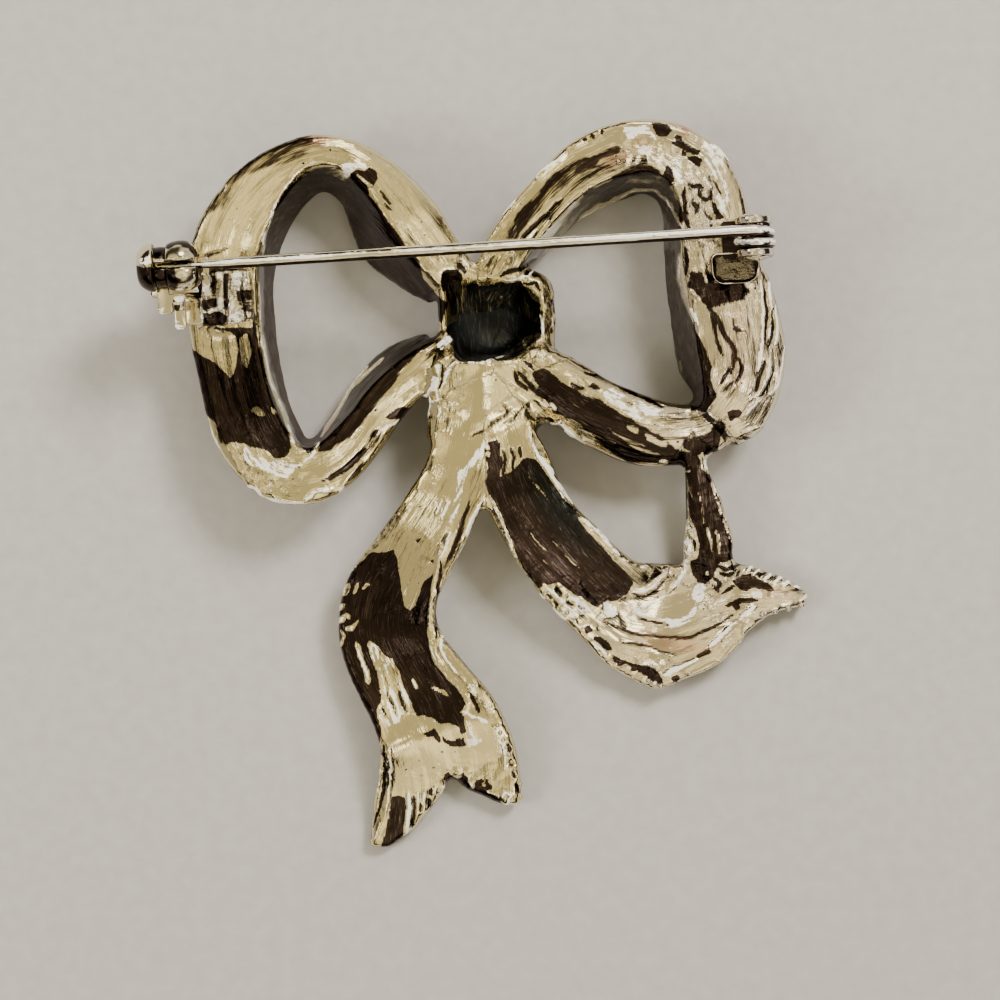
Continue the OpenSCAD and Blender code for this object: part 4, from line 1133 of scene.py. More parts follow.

# %% [markdown]
# The mirror shows dark things too. Each dark patch is a painted dark reflection, and each white
# place a painted highlight: an outline with a soft edge and a tone. Above zero it is painted dark,
# below zero white. Their torn edges come from the finish.
#
# Inside the left loop the tall walls are painted dark, as the dark room mirrored in them, and their
# crests are painted white as highlights.

# %% Patches of the left loop
PATCHES = [
    # tone, softness of the edge, outline
    # shade outside the crest
    (0.48, 0.3, (-22.4, 18), (-21.8, 20.2), (-20.7, 22), (-19.3, 23.3), (-18, 24.5), (-16.4, 25.5),
     (-14.3, 26.2), (-12.5, 26.5), (-12.6, 25.3), (-13.5, 24.5), (-14.7, 24.1), (-16.4, 23.6), (-17.4, 23.2),
     (-18.1, 22.5), (-18.7, 21.7), (-19.3, 20.8), (-20.5, 20.4), (-21.1, 19), (-21.5, 17.9)),
    # wall of the left band
    (1.3, 0.15, (-16.2, 17.7), (-15.8, 19.5), (-15.3, 21), (-14.3, 22.5), (-12.4, 23.5), (-11.2, 23.2),
     (-11.9, 21.6), (-13.4, 20.2), (-14.1, 18.5), (-14.4, 15.5), (-14.3, 12.5), (-13.8, 9.6), (-13.1, 6.6),
     (-12.2, 3.9), (-12.8, 2.4), (-13.7, 3.6), (-14.7, 6.3), (-15.6, 9.1), (-16.2, 11.8)),
    # wall of the right arm
    (1.3, 0.15, (-11.6, 23.2), (-9.8, 22.6), (-8.1, 21.4), (-7, 19.8), (-5.9, 18.1), (-4.7, 16.9),
     (-4.4, 15.5), (-3.4, 14.4), (-2.7, 13.7), (-3.2, 11.6), (-4.7, 11.8), (-6.4, 13.1), (-8.2, 15),
     (-10.6, 17.7), (-12.2, 21)),
    # notch
    (1.4, 0.08, (-9.6, 23.9), (-9.2, 23.6), (-8.8, 23.5), (-8.4, 23.8), (-7.9, 23.5), (-7.8, 23), (-8, 22.6),
     (-8.1, 22.3), (-8.5, 22.4), (-8.4, 21.9), (-9.2, 21.6), (-10, 22), (-10.1, 22.9), (-9.8, 23.5)),
    (-1, 0.08, (-10.5, 24.1), (-9.7, 24.3), (-9, 24.2), (-8.5, 23.9), (-8.7, 23.6), (-9.2, 23.8),
     (-9.6, 23.5), (-9.8, 23.2), (-10.2, 23), (-10.5, 23.5)),
    # dark mirror on the band
    (1.3, 0.22, (-22.1, 11.9), (-16.9, 11.9), (-16.7, 10.7), (-16.4, 9.6), (-15.9, 8.2), (-15.5, 7),
     (-15, 5.7), (-14.5, 4.5), (-14.2, 3.6), (-14.4, 2.7), (-14.8, 2.3), (-15.4, 2.4), (-15.9, 2.9),
     (-16.7, 3.1), (-17.3, 3.2), (-17.8, 3.4), (-18.3, 3.5), (-19, 3.3), (-19.3, 3.9), (-19.9, 5.1),
     (-20.5, 5.5), (-21.3, 6.6), (-21.5, 8.1), (-21.7, 9.6), (-22, 10.7)),
    # tongues above it
    (-0.25, 0.15, (-22.1, 12.1), (-21, 12.1), (-20.1, 12.1), (-19.3, 11.8), (-18.6, 11.6), (-18.2, 11.2),
     (-18.1, 10.3), (-18.2, 9.4), (-18.4, 8.7), (-18.7, 8.2), (-19.3, 8.8), (-19.9, 9.4), (-20.6, 9.7),
     (-21.4, 10.2), (-22, 10.9)),
    (-0.3, 0.08, (-18, 11.2), (-17.5, 11.6), (-17.3, 11), (-17.1, 10.2), (-17.3, 9.4), (-17.5, 8.9),
     (-17.8, 9.3), (-18, 10.2)),
    # pale blots
    (0.15, 0.08, (-17.3, 6), (-16.7, 6.2), (-16.1, 5.9), (-15.9, 5.3), (-16.7, 5.4), (-17.2, 5.7)),
    (0.15, 0.08, (-15.8, 6.2), (-15.3, 5.9), (-15.2, 5.4), (-15.6, 5.5)),
    # white clusters
    (-0.92, 0.08, (-17.8, 3.4), (-17.4, 3.1), (-17.1, 2.7), (-17, 2.3), (-16.4, 2.4), (-15.9, 2),
     (-15.4, 2.2), (-14.8, 2.3), (-14.1, 2.2), (-13.6, 1.9), (-13.8, 1.6), (-14.1, 1.1), (-14.5, 0.7),
     (-15, 0.8), (-15.6, 1.1), (-16.4, 1.4), (-17, 1.6), (-17.4, 1.9), (-17.7, 2.3)),
    # wall of the low arm
    (1.2, 0.15, (-3.3, 12.7), (-5.2, 11.9), (-6.7, 11.2), (-8.4, 10.2), (-9.8, 8.5), (-11, 6.4), (-12.2, 4.2),
     (-12.4, 2.7), (-11.3, 2.9), (-10.2, 4.7), (-9.1, 6.6), (-7.6, 8.4), (-6.1, 9.9), (-4.1, 10.7),
     (-3, 11.6)),
    # low arm, shade
    (0.85, 0.15, (-5.8, 10.3), (-4.5, 10.8), (-5.1, 9.7), (-5.9, 9), (-6.7, 7.7), (-7.6, 6.6), (-8.4, 5.5),
     (-9.4, 4.4), (-9.8, 3.8), (-10.6, 3.5), (-11.3, 3.1), (-11.5, 3.3), (-11.1, 3.9), (-10.6, 4.7),
     (-10.2, 5.9), (-9.8, 6.7), (-9, 7.8), (-8, 8.8), (-7, 9.6)),
    # low arm, notch
    (1.3, 0.08, (-7.2, 5.3), (-6.6, 5.8), (-5.8, 6.1), (-5.2, 6), (-4.8, 5.7), (-4.7, 5.1), (-5.2, 5),
     (-6.1, 5.2), (-6.7, 5.2)),
]
print(len(PATCHES), "patches")

# %% [markdown]
# The right loop has a groove, a white face and a dark band beside each other.

# %% Patches of the right loop
PATCHES += [
    # tone, softness, outline
    # groove
    (0.6, 0.15, (1.6, 18.5), (2.2, 19.6), (2.6, 20.5), (3.1, 20.9), (3.9, 21.5), (4.3, 22), (4.7, 22.7),
     (5.4, 23.4), (6.5, 24.2), (7.4, 24.7), (7.9, 24.6), (8.7, 25), (9.4, 25.3), (10.2, 25.4), (10.2, 24.9),
     (9.4, 24.7), (8.7, 24.4), (8.4, 23.8), (7.8, 23.6), (7.4, 23.2), (6.8, 23), (6.3, 22.5), (5.8, 22.1),
     (5.4, 21.7), (4.6, 21), (3.9, 20.2), (3.1, 19.3), (2.6, 18.5)),
    # white face
    (-1, 0.08, (4.2, 18.6), (4.7, 19.1), (5.1, 19.5), (5.6, 20), (5.9, 20.3), (6.3, 20.7), (6.8, 21.3),
     (7.1, 21.4), (7.1, 21.1), (6.6, 20.7), (6.2, 20.2), (5.7, 19.5), (5.4, 19), (5, 18.7), (4.6, 18.5)),
    # grey beside it
    (0.5, 0.15, (5.9, 19.9), (6.5, 20.5), (7.1, 21), (7.4, 21), (7.2, 20.4), (6.9, 19.9), (6.5, 19.3),
     (6.1, 18.7), (5.6, 18.5), (5.7, 19.3)),
    # inner wall of the crest
    (1.2, 0.15, (8.7, 21.7), (10.3, 22.5), (12.4, 22.6), (13.7, 22.2), (14.6, 21), (14.9, 19), (14.3, 19),
     (13.4, 20.4), (12.2, 21.3), (10.3, 21.3), (9, 20.7)),
    # white crest
    (-0.92, 0.08, (10.3, 26.8), (11.4, 27), (12.2, 27), (12.5, 26.6), (13, 26), (12.7, 25.8), (12.4, 26.2),
     (11.6, 26.3), (11.2, 25.9), (10.8, 25.9), (10.5, 26.3)),
    # hollow
    (1.4, 0.08, (12.5, 27.1), (13.1, 27.1), (13.7, 27), (13.9, 26.8), (13.9, 26.5), (13.7, 26.2),
     (13.4, 26.2), (13, 26.3), (12.8, 26.6)),
    # slots
    (1.4, 0.08, (13.9, 25.7), (14.6, 25.8), (15.4, 25.3), (16.1, 25), (16, 24.7), (15.2, 25), (14.5, 25.4)),
    (1.3, 0.08, (15.1, 24.6), (15.7, 24.6), (16.2, 24.4), (16.1, 23.9), (15.7, 24.1), (15.2, 24.5)),
    # painted white highlight
    (-0.85, 0.15, (16.1, 26.3), (16.8, 25.7), (17.6, 25), (18.1, 23.9), (18.3, 22.5), (18.2, 21),
     (17.4, 21.4), (17.1, 22.6), (16.5, 23.5), (16.4, 24.4), (16.5, 25.1)),
    (-1, 0.08, (13.4, 25), (14, 24.7), (14.6, 24.4), (14.8, 23.6), (14.9, 22.7), (14.6, 22.5), (14.3, 23),
     (14, 23.8), (13.6, 24.4)),
    (-1, 0.08, (11.4, 25.4), (12, 25.6), (12.6, 25.3), (12.5, 24.7), (12, 24.7), (11.5, 25)),
    # torn rim of the inner edge
    (0.55, 0.15, (9.6, 23.2), (10.6, 23.8), (11.6, 24.1), (12.8, 23.9), (13.4, 23.2), (13.4, 22.5),
     (12.4, 22.6), (11.2, 22.6), (10.2, 22.2), (9.3, 22)),
    # grey drop
    (0.4, 0.08, (11.5, 24.5), (12.1, 24.7), (12.3, 24.2), (11.9, 23.7), (11.5, 24)),
    # dark band
    (0.85, 0.08, (10.2, 23.3), (10.9, 23.5), (11.6, 23.6), (12.4, 23.9), (12.6, 23.6), (12.2, 23.1),
     (11.6, 23), (10.9, 23.2), (10.3, 22.7), (9.9, 22.5)),
    (1.2, 0.08, (13.6, 23.9), (13.9, 23.9), (14.1, 23.5), (14.2, 22.9), (13.9, 22.5), (13.6, 22.7),
     (13.3, 23)),
    # wedge
    (1.3, 0.08, (17, 21.3), (17.3, 21), (17.9, 20.1), (17.4, 20), (17.1, 20.7)),
    # wall of the right band
    (1.3, 0.15, (12.8, 18), (14.2, 17.7), (14.4, 15.1), (14.8, 13.9), (15.5, 12.4), (16.1, 11.2),
     (16.5, 10.2), (16.9, 9), (16.9, 8.1), (17.3, 6.9), (16.5, 5.7), (15.5, 5.9), (15.1, 8.1), (14.5, 10.3),
     (13.7, 12.5), (13, 14.7)),
    # shade below the hinge
    (1, 0.22, (15.4, 16.1), (17.3, 15.8), (19.2, 15.3), (19.8, 14.6), (19.2, 14), (17.9, 13.7), (16.5, 13.4),
     (15.8, 14.3), (15.2, 15)),
    # tan face
    (0.1, 0.15, (14.8, 13.9), (15.4, 14.3), (16.1, 14), (16.6, 13.6), (16.7, 12.7), (17, 11.8), (17.3, 10.7),
     (17.9, 10.4), (18.3, 9.9), (18.2, 9.4), (17.9, 8.8), (17.7, 8.1), (17.4, 7.5), (17.1, 7.2), (17, 8.1),
     (17.3, 8.5), (16.9, 9.4), (16.6, 10.2), (15.9, 11.4), (15.4, 12.7)),
    # fold shade
    (0.8, 0.15, (17.7, 5.1), (18.1, 4.8), (17.9, 4.2), (17.6, 3.8), (17.5, 3), (17.3, 2.5), (16.8, 2.9),
     (16.5, 3.6), (16.8, 4.2), (17.1, 4.7)),
    # spot
    (1.4, 0.08, (18.1, 5.7), (18.5, 5.9), (19.1, 5.9), (19.2, 5.6), (18.8, 5.3), (18.3, 5)),
    # under the fold
    (1, 0.15, (14.9, 3.9), (16.7, 4.1), (17, 2.9), (16.5, 2.4), (15.6, 2.7), (14.9, 3)),
]
print(len(PATCHES), "patches")

# %% [markdown]
# Half of the lower band is painted dark as a reflection, and half painted white as a highlight.

# %% Patches of the lower band
PATCHES += [
    # tone, softness, outline
    # dark half
    (0.76, 0.15, (3.8, 8.5), (4.6, 8.9), (5.2, 8.3), (5.7, 7.9), (6.6, 7.5), (7.5, 7), (8.5, 6.7), (9.4, 6.2),
     (10.3, 5.5), (11.4, 5), (12.4, 4.4), (13.4, 3.8), (14.3, 3), (15.4, 2.6), (15.8, 2), (15.2, 1.4),
     (13.9, 1.7), (12.4, 2), (10.9, 2), (9.6, 2.7), (8.4, 3.6), (7.2, 4.8), (6.2, 5.4), (5.2, 5.6),
     (4.6, 6.7), (4, 7), (4.2, 7.6)),
    # white face
    (-0.92, 0.08, (8.8, 7.2), (9.6, 7.5), (10.3, 7.2), (11.2, 6.7), (12.1, 6.3), (13.1, 6), (13.9, 5.8),
     (13.7, 5.4), (13.1, 5.3), (12.2, 5.4), (11.6, 5), (10.8, 5.4), (9.9, 6), (9.1, 6.4)),
    # crumbs
    (0.1, 0.08, (10.6, 4.9), (11.1, 4.7), (11.6, 4.5), (11.5, 4.1), (11.1, 4.2), (10.7, 4.5)),
    (0.1, 0.08, (12, 4.2), (12.5, 4.1), (13.1, 3.6), (13.7, 3.6), (13.7, 3.1), (13, 3.2), (12.2, 3.6)),
    # grey turn
    (0.3, 0.22, (13.1, 5.7), (16.1, 5.9), (17, 4.8), (16.5, 3.9), (15.4, 3.6), (13.7, 3.6), (12.4, 4.5)),
    # low edge
    (-0.1, 0.08, (12, 1.9), (13.3, 1.7), (14.3, 1.6), (15.4, 1.6), (14.8, 1), (13.4, 1), (12.4, 1.3)),
]
print(len(PATCHES), "patches")

# %% [markdown]
# The window of the knot is painted darkest, as deep shade, and the plate below it is the calmest.

# %% Patches of the knot
PATCHES += [
    # tone, softness, outline
    # window
    (1.9, 0.15, (-3, 16), (-2.7, 16.2), (-2, 16.2), (-1.6, 15.9), (-1.5, 15.6), (-1.7, 15.1), (-1.2, 15),
     (-0.7, 15.2), (-0.2, 15), (0.4, 15), (1.3, 15.3), (1.9, 15.1), (2.4, 15.3), (2.8, 15.4), (3.2, 14.7),
     (3.5, 14.2), (4.2, 13.6), (4.3, 12.9), (4.5, 11.6), (3.5, 11.5), (2.6, 10.9), (2.3, 10.3), (1.9, 9.7),
     (1.3, 9.8), (0.7, 9.6), (-0.2, 9.5), (-1.1, 9.4), (-1.7, 9.5), (-2, 9.8), (-2.1, 10.7), (-2.2, 11.3),
     (-2.7, 11.7), (-2.4, 12.1), (-1.8, 12.5), (-1.7, 13.1), (-2.1, 13.6), (-2.6, 14.2), (-2.7, 14.4),
     (-2.6, 14.9), (-2.9, 14.7), (-3.1, 15.3)),
    # upper part of the window, torn
    (0.6, 0.3, (-2.9, 15.9), (-1.5, 15.3), (-0.2, 14.8), (1.3, 15), (3.1, 15), (3.7, 14), (4.5, 12.8),
     (4.5, 11.8), (2.8, 12.7), (1.3, 13.1), (-0.9, 12.7), (-2.3, 12.8), (-2.7, 14)),
    # top slots
    (1.3, 0.08, (-1.9, 16.7), (-1.6, 16.7), (-1.3, 16.4), (-1.1, 16.1), (-1.3, 15.9), (-1.6, 16.2),
     (-1.9, 16.3)),
    # yellow lip
    (-0.5, 0.08, (-3.9, 11.6), (-3.7, 12.4), (-3.4, 12.7), (-3, 12.2), (-2.9, 11.9), (-3.4, 11.5)),
    # calm plate
    (-0.1, 0.3, (-1.8, 9), (1.7, 9.6), (2.2, 8.5), (2.2, 7), (1.3, 6), (-0.2, 4.8), (-1.7, 4.2), (-2.4, 5.3),
     (-2.4, 7.3)),
    # rippled band
    (-1.2, 0.08, (-3.4, 10.7), (-2.8, 11.3), (-2.4, 11.3), (-2.2, 11), (-2.7, 10.6), (-3.1, 10.2)),
    (-1.2, 0.08, (-3.9, 9.4), (-3.6, 10.1), (-3.3, 10.2), (-3.4, 9.6), (-3.7, 9)),
    (-1.2, 0.08, (-3.5, 9.2), (-3.2, 9.3), (-2.9, 9.1), (-3, 8.7), (-3.2, 8.4), (-3.5, 8.7)),
    (-1.2, 0.08, (-3.8, 8.4), (-3.2, 8.4), (-3.2, 7.7), (-3.5, 7.2), (-3.8, 7.5)),
    # arm root
    (1.3, 0.08, (3.7, 8.7), (4.6, 8.9), (5.4, 8.3), (5.9, 7.8), (6.6, 7.3), (6.6, 5.7), (5.7, 6), (5, 6.3),
     (4.6, 6.7), (4, 7), (4.2, 7.6), (3.8, 8.1)),
    # grey strip
    (0.5, 0.08, (4.1, 5.7), (4.7, 6), (4.8, 5.1), (4.3, 4.7), (4.2, 4), (3.9, 4.4), (3.9, 5.3)),
    # fork, white
    (-0.92, 0.08, (0.2, 3.6), (0.5, 3.8), (0.6, 3.6), (0.1, 2.9), (0.2, 2.5), (-0.4, 2), (-0.9, 1.4),
     (-1.2, 0.7), (-1.4, -0.2), (-1.7, -1.1), (-2.1, -2.4), (-2.4, -2.9), (-2.6, -2.1), (-2.1, -0.8),
     (-1.9, 0.7), (-1.8, 1.3), (-1.3, 1.7), (-0.8, 2.4), (-0.2, 3.2)),
    # fork, dark
    (1.3, 0.08, (0.5, 3.6), (1.1, 3.6), (1.3, 3.2), (1.3, 2.5), (1.5, 2), (1.3, 1.4), (1.3, 0.8), (0.9, 0.3),
     (0.3, 0.5), (0.4, 1.8), (0.2, 2.4), (0.1, 2.9)),
    # fork, grey side
    (0.35, 0.08, (-0.7, 1.4), (-0.2, 1.6), (0.1, 0.5), (-0.1, -0.4), (-0.7, -1.6), (-1.2, -2.9), (-1.8, -4.4),
     (-2.4, -5.7), (-2.9, -6.7), (-3.2, -6.7), (-2.3, -4.4), (-1.5, -2.3), (-1.1, -0.4)),
]
print(len(PATCHES), "patches")

# %% [markdown]
# The left tail has a dark side, a painted reflection, and painted white highlights.

# %% Patches of the left tail
PATCHES += [
    # tone, softness, outline
    # dark mirror
    (1.35, 0.08, (-11, -7), (-9.8, -6.3), (-9, -5.4), (-8.2, -4.7), (-7.3, -4.7), (-6.7, -4.5), (-6.4, -5.1),
     (-6.2, -6.4), (-6, -7.6), (-5.8, -8.7), (-5.4, -9), (-4.9, -8.7), (-4.7, -7.9), (-4.4, -6.9),
     (-3.9, -6.5), (-3.4, -6), (-3.6, -7.1), (-3.8, -8.5), (-4, -10.1), (-3.9, -11.3), (-3.6, -12.4),
     (-3, -13.6), (-2.1, -14.4), (-1.5, -15.2), (-1.2, -15.9), (-1.5, -16.5), (-1.4, -17.3), (-1.2, -17.9),
     (-1.6, -18.1), (-1.8, -17.6), (-2.4, -17.3), (-3.1, -17.4), (-3.6, -17), (-4.4, -16.7), (-4.9, -16.8),
     (-5.2, -15.9), (-5.7, -15), (-6.1, -13.7), (-6.7, -12.7), (-7.3, -12.4), (-7.8, -13.3), (-7.6, -14.4),
     (-7.5, -15.6), (-7.9, -16.8), (-7.5, -17.9), (-7.7, -19), (-7.3, -19.9), (-7.9, -19.5), (-8.7, -18.2),
     (-9.2, -16), (-9.8, -14.2), (-10.4, -12.3), (-11.2, -11.2)),
    # white cluster
    (-0.92, 0.08, (-8.4, -11.2), (-8.1, -11.3), (-7.8, -11.6), (-7.5, -12.1), (-7.2, -12.4), (-6.7, -12.6),
     (-6.4, -13.4), (-6.1, -14.2), (-5.8, -14.9), (-5.5, -15.4), (-5.3, -16.1), (-5.1, -16.6), (-4.9, -16.8),
     (-5.5, -16.7), (-6.1, -16.8), (-6.1, -17.3), (-6.4, -17.4), (-6.9, -17.7), (-7.3, -17.6), (-7.6, -17.1),
     (-7.9, -16.4), (-7.8, -16.1), (-7.5, -15.8), (-7.2, -15.3), (-7.5, -14.7), (-7.6, -14.2), (-7.8, -13.6),
     (-8.1, -13), (-8.3, -12.3), (-8.5, -11.6)),
    (0.1, 0.08, (-7, -13.2), (-6.7, -13), (-6.5, -13.8), (-6.4, -14.5), (-6.7, -14.7), (-7, -14.2)),
    # white streak
    (-1, 0.08, (-9.5, -11.2), (-9.1, -11.6), (-8.9, -12.2), (-8.7, -13), (-8.4, -13.6), (-8.3, -14.2),
     (-8.4, -14.5), (-8.7, -14.3), (-8.8, -13.6), (-9, -13), (-9.3, -12.2), (-9.5, -11.6)),
    # left edge
    (-0.9, 0.08, (-11, -7.3), (-10.4, -7), (-9.8, -7), (-9.8, -7.5), (-10.1, -7.9), (-10.7, -8)),
    (-0.9, 0.08, (-11.1, -8.2), (-10.7, -8.5), (-10.2, -8.5), (-10.1, -8.3), (-10.4, -9), (-11, -9.1)),
    (-0.9, 0.08, (-10.9, -9.7), (-10.4, -9.4), (-10, -9.2), (-9.8, -9.4), (-9.8, -9.7), (-10.1, -9.6),
     (-10.3, -9.9), (-10.8, -10)),
    (-0.9, 0.08, (-10.1, -10.2), (-9.7, -10.1), (-9.2, -9.7), (-9.4, -10.2), (-9.6, -10.5), (-10.1, -10.5)),
    # pale blot
    (-0.1, 0.08, (-4, -14.7), (-3.5, -14.6), (-2.8, -14.9), (-2.5, -15.4), (-2.8, -15.4), (-3.3, -15)),
    # white corner
    (-1.3, 0.08, (-1.6, -16.5), (-1.2, -16.3), (-0.8, -16.7), (-0.4, -16.8), (0.4, -17.1), (0.5, -17.4),
     (0.1, -17.4), (-0.4, -17), (-0.8, -17)),
    (-1, 0.08, (-1.5, -18.7), (-1.2, -18.5), (-0.1, -18.5), (0, -18.9), (-0.6, -19.1), (-1.2, -19.2)),
    # specks
    (1.3, 0.08, (-4.4, -18.1), (-3.8, -18), (-3.6, -17.8), (-3.4, -18.1), (-3.2, -18.4), (-3.1, -18.8),
     (-3.3, -18.7), (-3.7, -18.3), (-4.1, -18.4)),
    (1.3, 0.08, (-3, -18.3), (-2.7, -18.6), (-2, -18.7), (-1.8, -18.5), (-1.6, -18.6), (-1.4, -18.5),
     (-1.2, -19), (-1.7, -19.1), (-2.4, -19), (-2.9, -18.7)),
    # smooth lower part
    (-0.3, 0.22, (-6.7, -19.5), (-5.4, -18.5), (-3.5, -19.2), (-1.1, -19.5), (1.3, -18.9), (1.9, -20.8),
     (0.1, -21.1), (-2.6, -20.8), (-4.7, -21.9), (-6.4, -22.3)),
    # crumbled band
    (1.35, 0.08, (-2.9, -21.4), (-2.6, -21), (-2.3, -21.3), (-1.9, -21.6), (-1.5, -21.4), (-1.4, -21),
     (-1.2, -21.4), (-1, -21.7), (-0.6, -22), (-0.5, -21.6), (-0.1, -21.5), (0.2, -21.8), (0.2, -21.3),
     (0.5, -21.8), (0.7, -22.2), (0.3, -22.3), (0.4, -22.5), (1.1, -22.8), (1.4, -23.3), (1.3, -23.6),
     (0.5, -23.4), (-0.5, -23), (-1.5, -22.5), (-2.1, -22.8), (-2.4, -22.7), (-2.6, -22.2), (-2.7, -21.7)),
    # prong shade
    (1.2, 0.08, (-6.7, -22.8), (-6.2, -22.7), (-5.8, -22.9), (-5.7, -23.5), (-5.8, -24.5), (-5.8, -25.4),
     (-6.1, -26.4), (-6.7, -26.9), (-7.2, -26.9), (-7.5, -26.6), (-7.3, -25.9), (-7, -24.7), (-6.8, -23.6)),
]
print(len(PATCHES), "patches")

# %% [markdown]
# The right tail has a dark side and a grey one, with white folds between.

# %% Patches of the right tail
PATCHES += [
    # tone, softness, outline
    # dark mirror
    (1.35, 0.15, (0.2, 0.5), (1.3, 0.8), (2.4, 1.4), (2.9, 2), (3.3, 2.3), (3.9, 2.1), (4.6, 1.4), (5.3, 0.4),
     (6, -0.8), (6.9, -1.7), (7.1, -2.4), (7.9, -3.3), (9, -4.2), (9.7, -5.3), (10.6, -6.2), (11.1, -6.9),
     (10.9, -7.5), (10.5, -7.9), (10, -8.2), (9, -8.4), (8.5, -8.7), (8.1, -8.5), (7.6, -8.2), (7.2, -8.1),
     (6.5, -7.5), (5.7, -6.9), (5, -7), (4.2, -7.3), (3.5, -6.6), (2.8, -5.3), (2.2, -4.1), (1.6, -2.7),
     (1, -1.4), (0.5, -0.5)),
    # grey face
    (0.28, 0.15, (7.2, -2.3), (8.7, -3.5), (10.3, -4.4), (12.1, -5.3), (13.6, -6), (13.3, -6.6), (12.4, -6.9),
     (11.4, -7.2), (10.9, -6.6), (9.9, -5.6), (8.7, -4.2), (7.6, -3.2)),
    # crumbs
    (-0.92, 0.08, (4.4, -7), (4.8, -7.2), (5.4, -7.6), (5.9, -8.1), (6.6, -8), (7.2, -7.9), (7.5, -8.2),
     (8.2, -8.7), (8.4, -9.1), (7.6, -9.3), (7.1, -9.4), (6.5, -9.7), (5.9, -9.1), (5.4, -8.5), (5, -7.9)),
    (-1, 0.08, (8.9, -8.4), (9.3, -8.2), (9.6, -8.7), (10, -9.1), (9.6, -9.5), (8.8, -9.6), (8.4, -9.6),
     (9, -9.1)),
    # fold, white
    (-0.92, 0.08, (11, -9.1), (11.5, -8.7), (12.2, -8.5), (13.1, -7.9), (13.7, -7.8), (13.4, -8.4),
     (12.8, -8.7), (12.1, -8.8), (11.6, -9.1), (12.4, -9.3), (13.6, -9.6), (14.5, -9.6), (15.2, -9.3),
     (15.6, -8.7), (15.9, -8.2), (15.9, -9.1), (15.4, -9.9), (14.5, -10.4), (13.9, -10.4), (12.7, -10.2),
     (11.6, -9.9), (11.1, -9.6)),
    (-1, 0.08, (15.6, -7.3), (16.2, -6.8), (16.5, -7.3), (16.4, -8.1), (16.1, -8.5), (15.6, -8.2),
     (15.5, -7.8)),
    # smooth fold
    (-0.35, 0.15, (14.9, -5.7), (15.5, -6.2), (15.9, -6.9), (15.5, -7.6), (15.4, -8.5), (14.3, -8.7),
     (13.1, -9), (12.5, -9), (13.4, -8.1), (14.3, -7)),
    # tan below
    (0.12, 0.22, (8.7, -9.7), (10.2, -9.4), (11.6, -10.2), (13.7, -10.6), (16.1, -9.9), (17.3, -9.4),
     (16.1, -10.7), (13.1, -10.9), (10.9, -10.7), (9.4, -10.4)),
    # slots by the edge
    (1.4, 0.08, (7.5, -10.2), (7.9, -10.1), (8.1, -10.5), (7.7, -10.7)),
    (1.4, 0.08, (8.2, -11), (8.7, -11), (9.3, -11.4), (9.6, -11.9), (9.1, -11.9), (8.5, -11.5)),
    (1.2, 0.08, (9.6, -12.3), (10.5, -12.7), (11.6, -13), (12.5, -13.3), (13.1, -13.7), (13.4, -14.3),
     (13.4, -14.9), (12.8, -14.4), (12.2, -13.9), (11.5, -13.5), (10.3, -13.2), (9.7, -12.7)),
    # pit
    (1.4, 0.08, (14.1, -13.9), (14.5, -13.8), (14.6, -14.2), (14.3, -14.4), (14, -14.2)),
]
print(len(PATCHES), "patches")

# %% [markdown]
# The strut and the spur have small places painted dark between their ridges, which are painted white as
# highlights.

# %% Patches of the strut and spur
PATCHES += [
    # tone, softness, outline
    # root of the strut
    (1.2, 0.08, (14.8, 2.7), (15.8, 2.7), (16.2, 2), (16.4, 0.5), (15.1, 0.5)),
    # strut
    (1.2, 0.11, (14.9, 1.4), (17.1, 1.4), (17.9, -1.6), (18.8, -5), (17.9, -5.4), (17.3, -5.4), (16.5, -7),
     (15.9, -6.9), (15.5, -5.7), (16.1, -4.7), (15.8, -3), (15.2, -1.2)),
    # foot of the strut
    (-0.6, 0.08, (14.8, -2.3), (15.4, -2.3), (15.7, -3.2), (16.1, -4.1), (15.9, -5.3), (15.4, -5.3),
     (15.1, -5.7), (14.2, -5.3), (14, -4.7), (14.3, -3.8)),
    # apex
    (1.4, 0.08, (15.4, -5.3), (17.6, -5.3), (17, -6.6), (16.5, -7), (16.1, -7), (15.6, -6.4), (15.5, -5.9)),
    # spur, dark blobs
    (1.4, 0.08, (18.5, -6.8), (19.1, -6.5), (19.8, -6.3), (20.4, -6.7), (21.1, -7), (21.7, -7.5),
     (21.4, -7.7), (20.7, -7.3), (19.9, -7.3), (19.4, -7.6), (18.9, -7.3)),
    (1.4, 0.08, (19.1, -8.1), (19.8, -8.1), (20.3, -8), (20.5, -8.3), (19.8, -8.4), (19.2, -8.4),
     (18.3, -8.7), (17.9, -8.8), (18.3, -8.4)),
    (1.3, 0.08, (18.6, -8.7), (19, -8.5), (19.1, -8.8), (18.8, -9)),
    # spur, white
    (-1.2, 0.08, (19.9, -7.5), (20.7, -7.5), (20.8, -8.2), (20.2, -8.2), (19.9, -7.9)),
]
print(len(PATCHES), "patches")

# %% [markdown]
# Blush is the pink cast of the metal around, in soft ovals. Below zero it cools the painted dark
# reflection to near black instead, as painted deep shade.

# %% Blush
BLUSHES = [
    # x, y, half length, half width, angle, blush
    (-12.2, 25.8, 0.9, 0.5, -10, 0.6),
    (9.9, 24.4, 1.5, 0.5, 20, 0.45),
    (11.9, 25.4, 0.8, 0.5, 0, 0.3),
    (14.9, 26.6, 0.6, 0.3, -40, 0.6),
    (14.2, -11.5, 2.6, 0.6, -8, 0.45),
    (0.2, 12.6, 3.6, 3.4, 0, -1.4),
    (5.8, -1.2, 4.4, 1.7, -52, -0.85),
    (-11.5, 4.8, 0.5, 1.0, 0, 0.5),
    (18.9, 10.0, 1.0, 4.0, 0, 0.15),
    (21.4, -7.8, 1.6, 0.4, 0, 0.3),
]


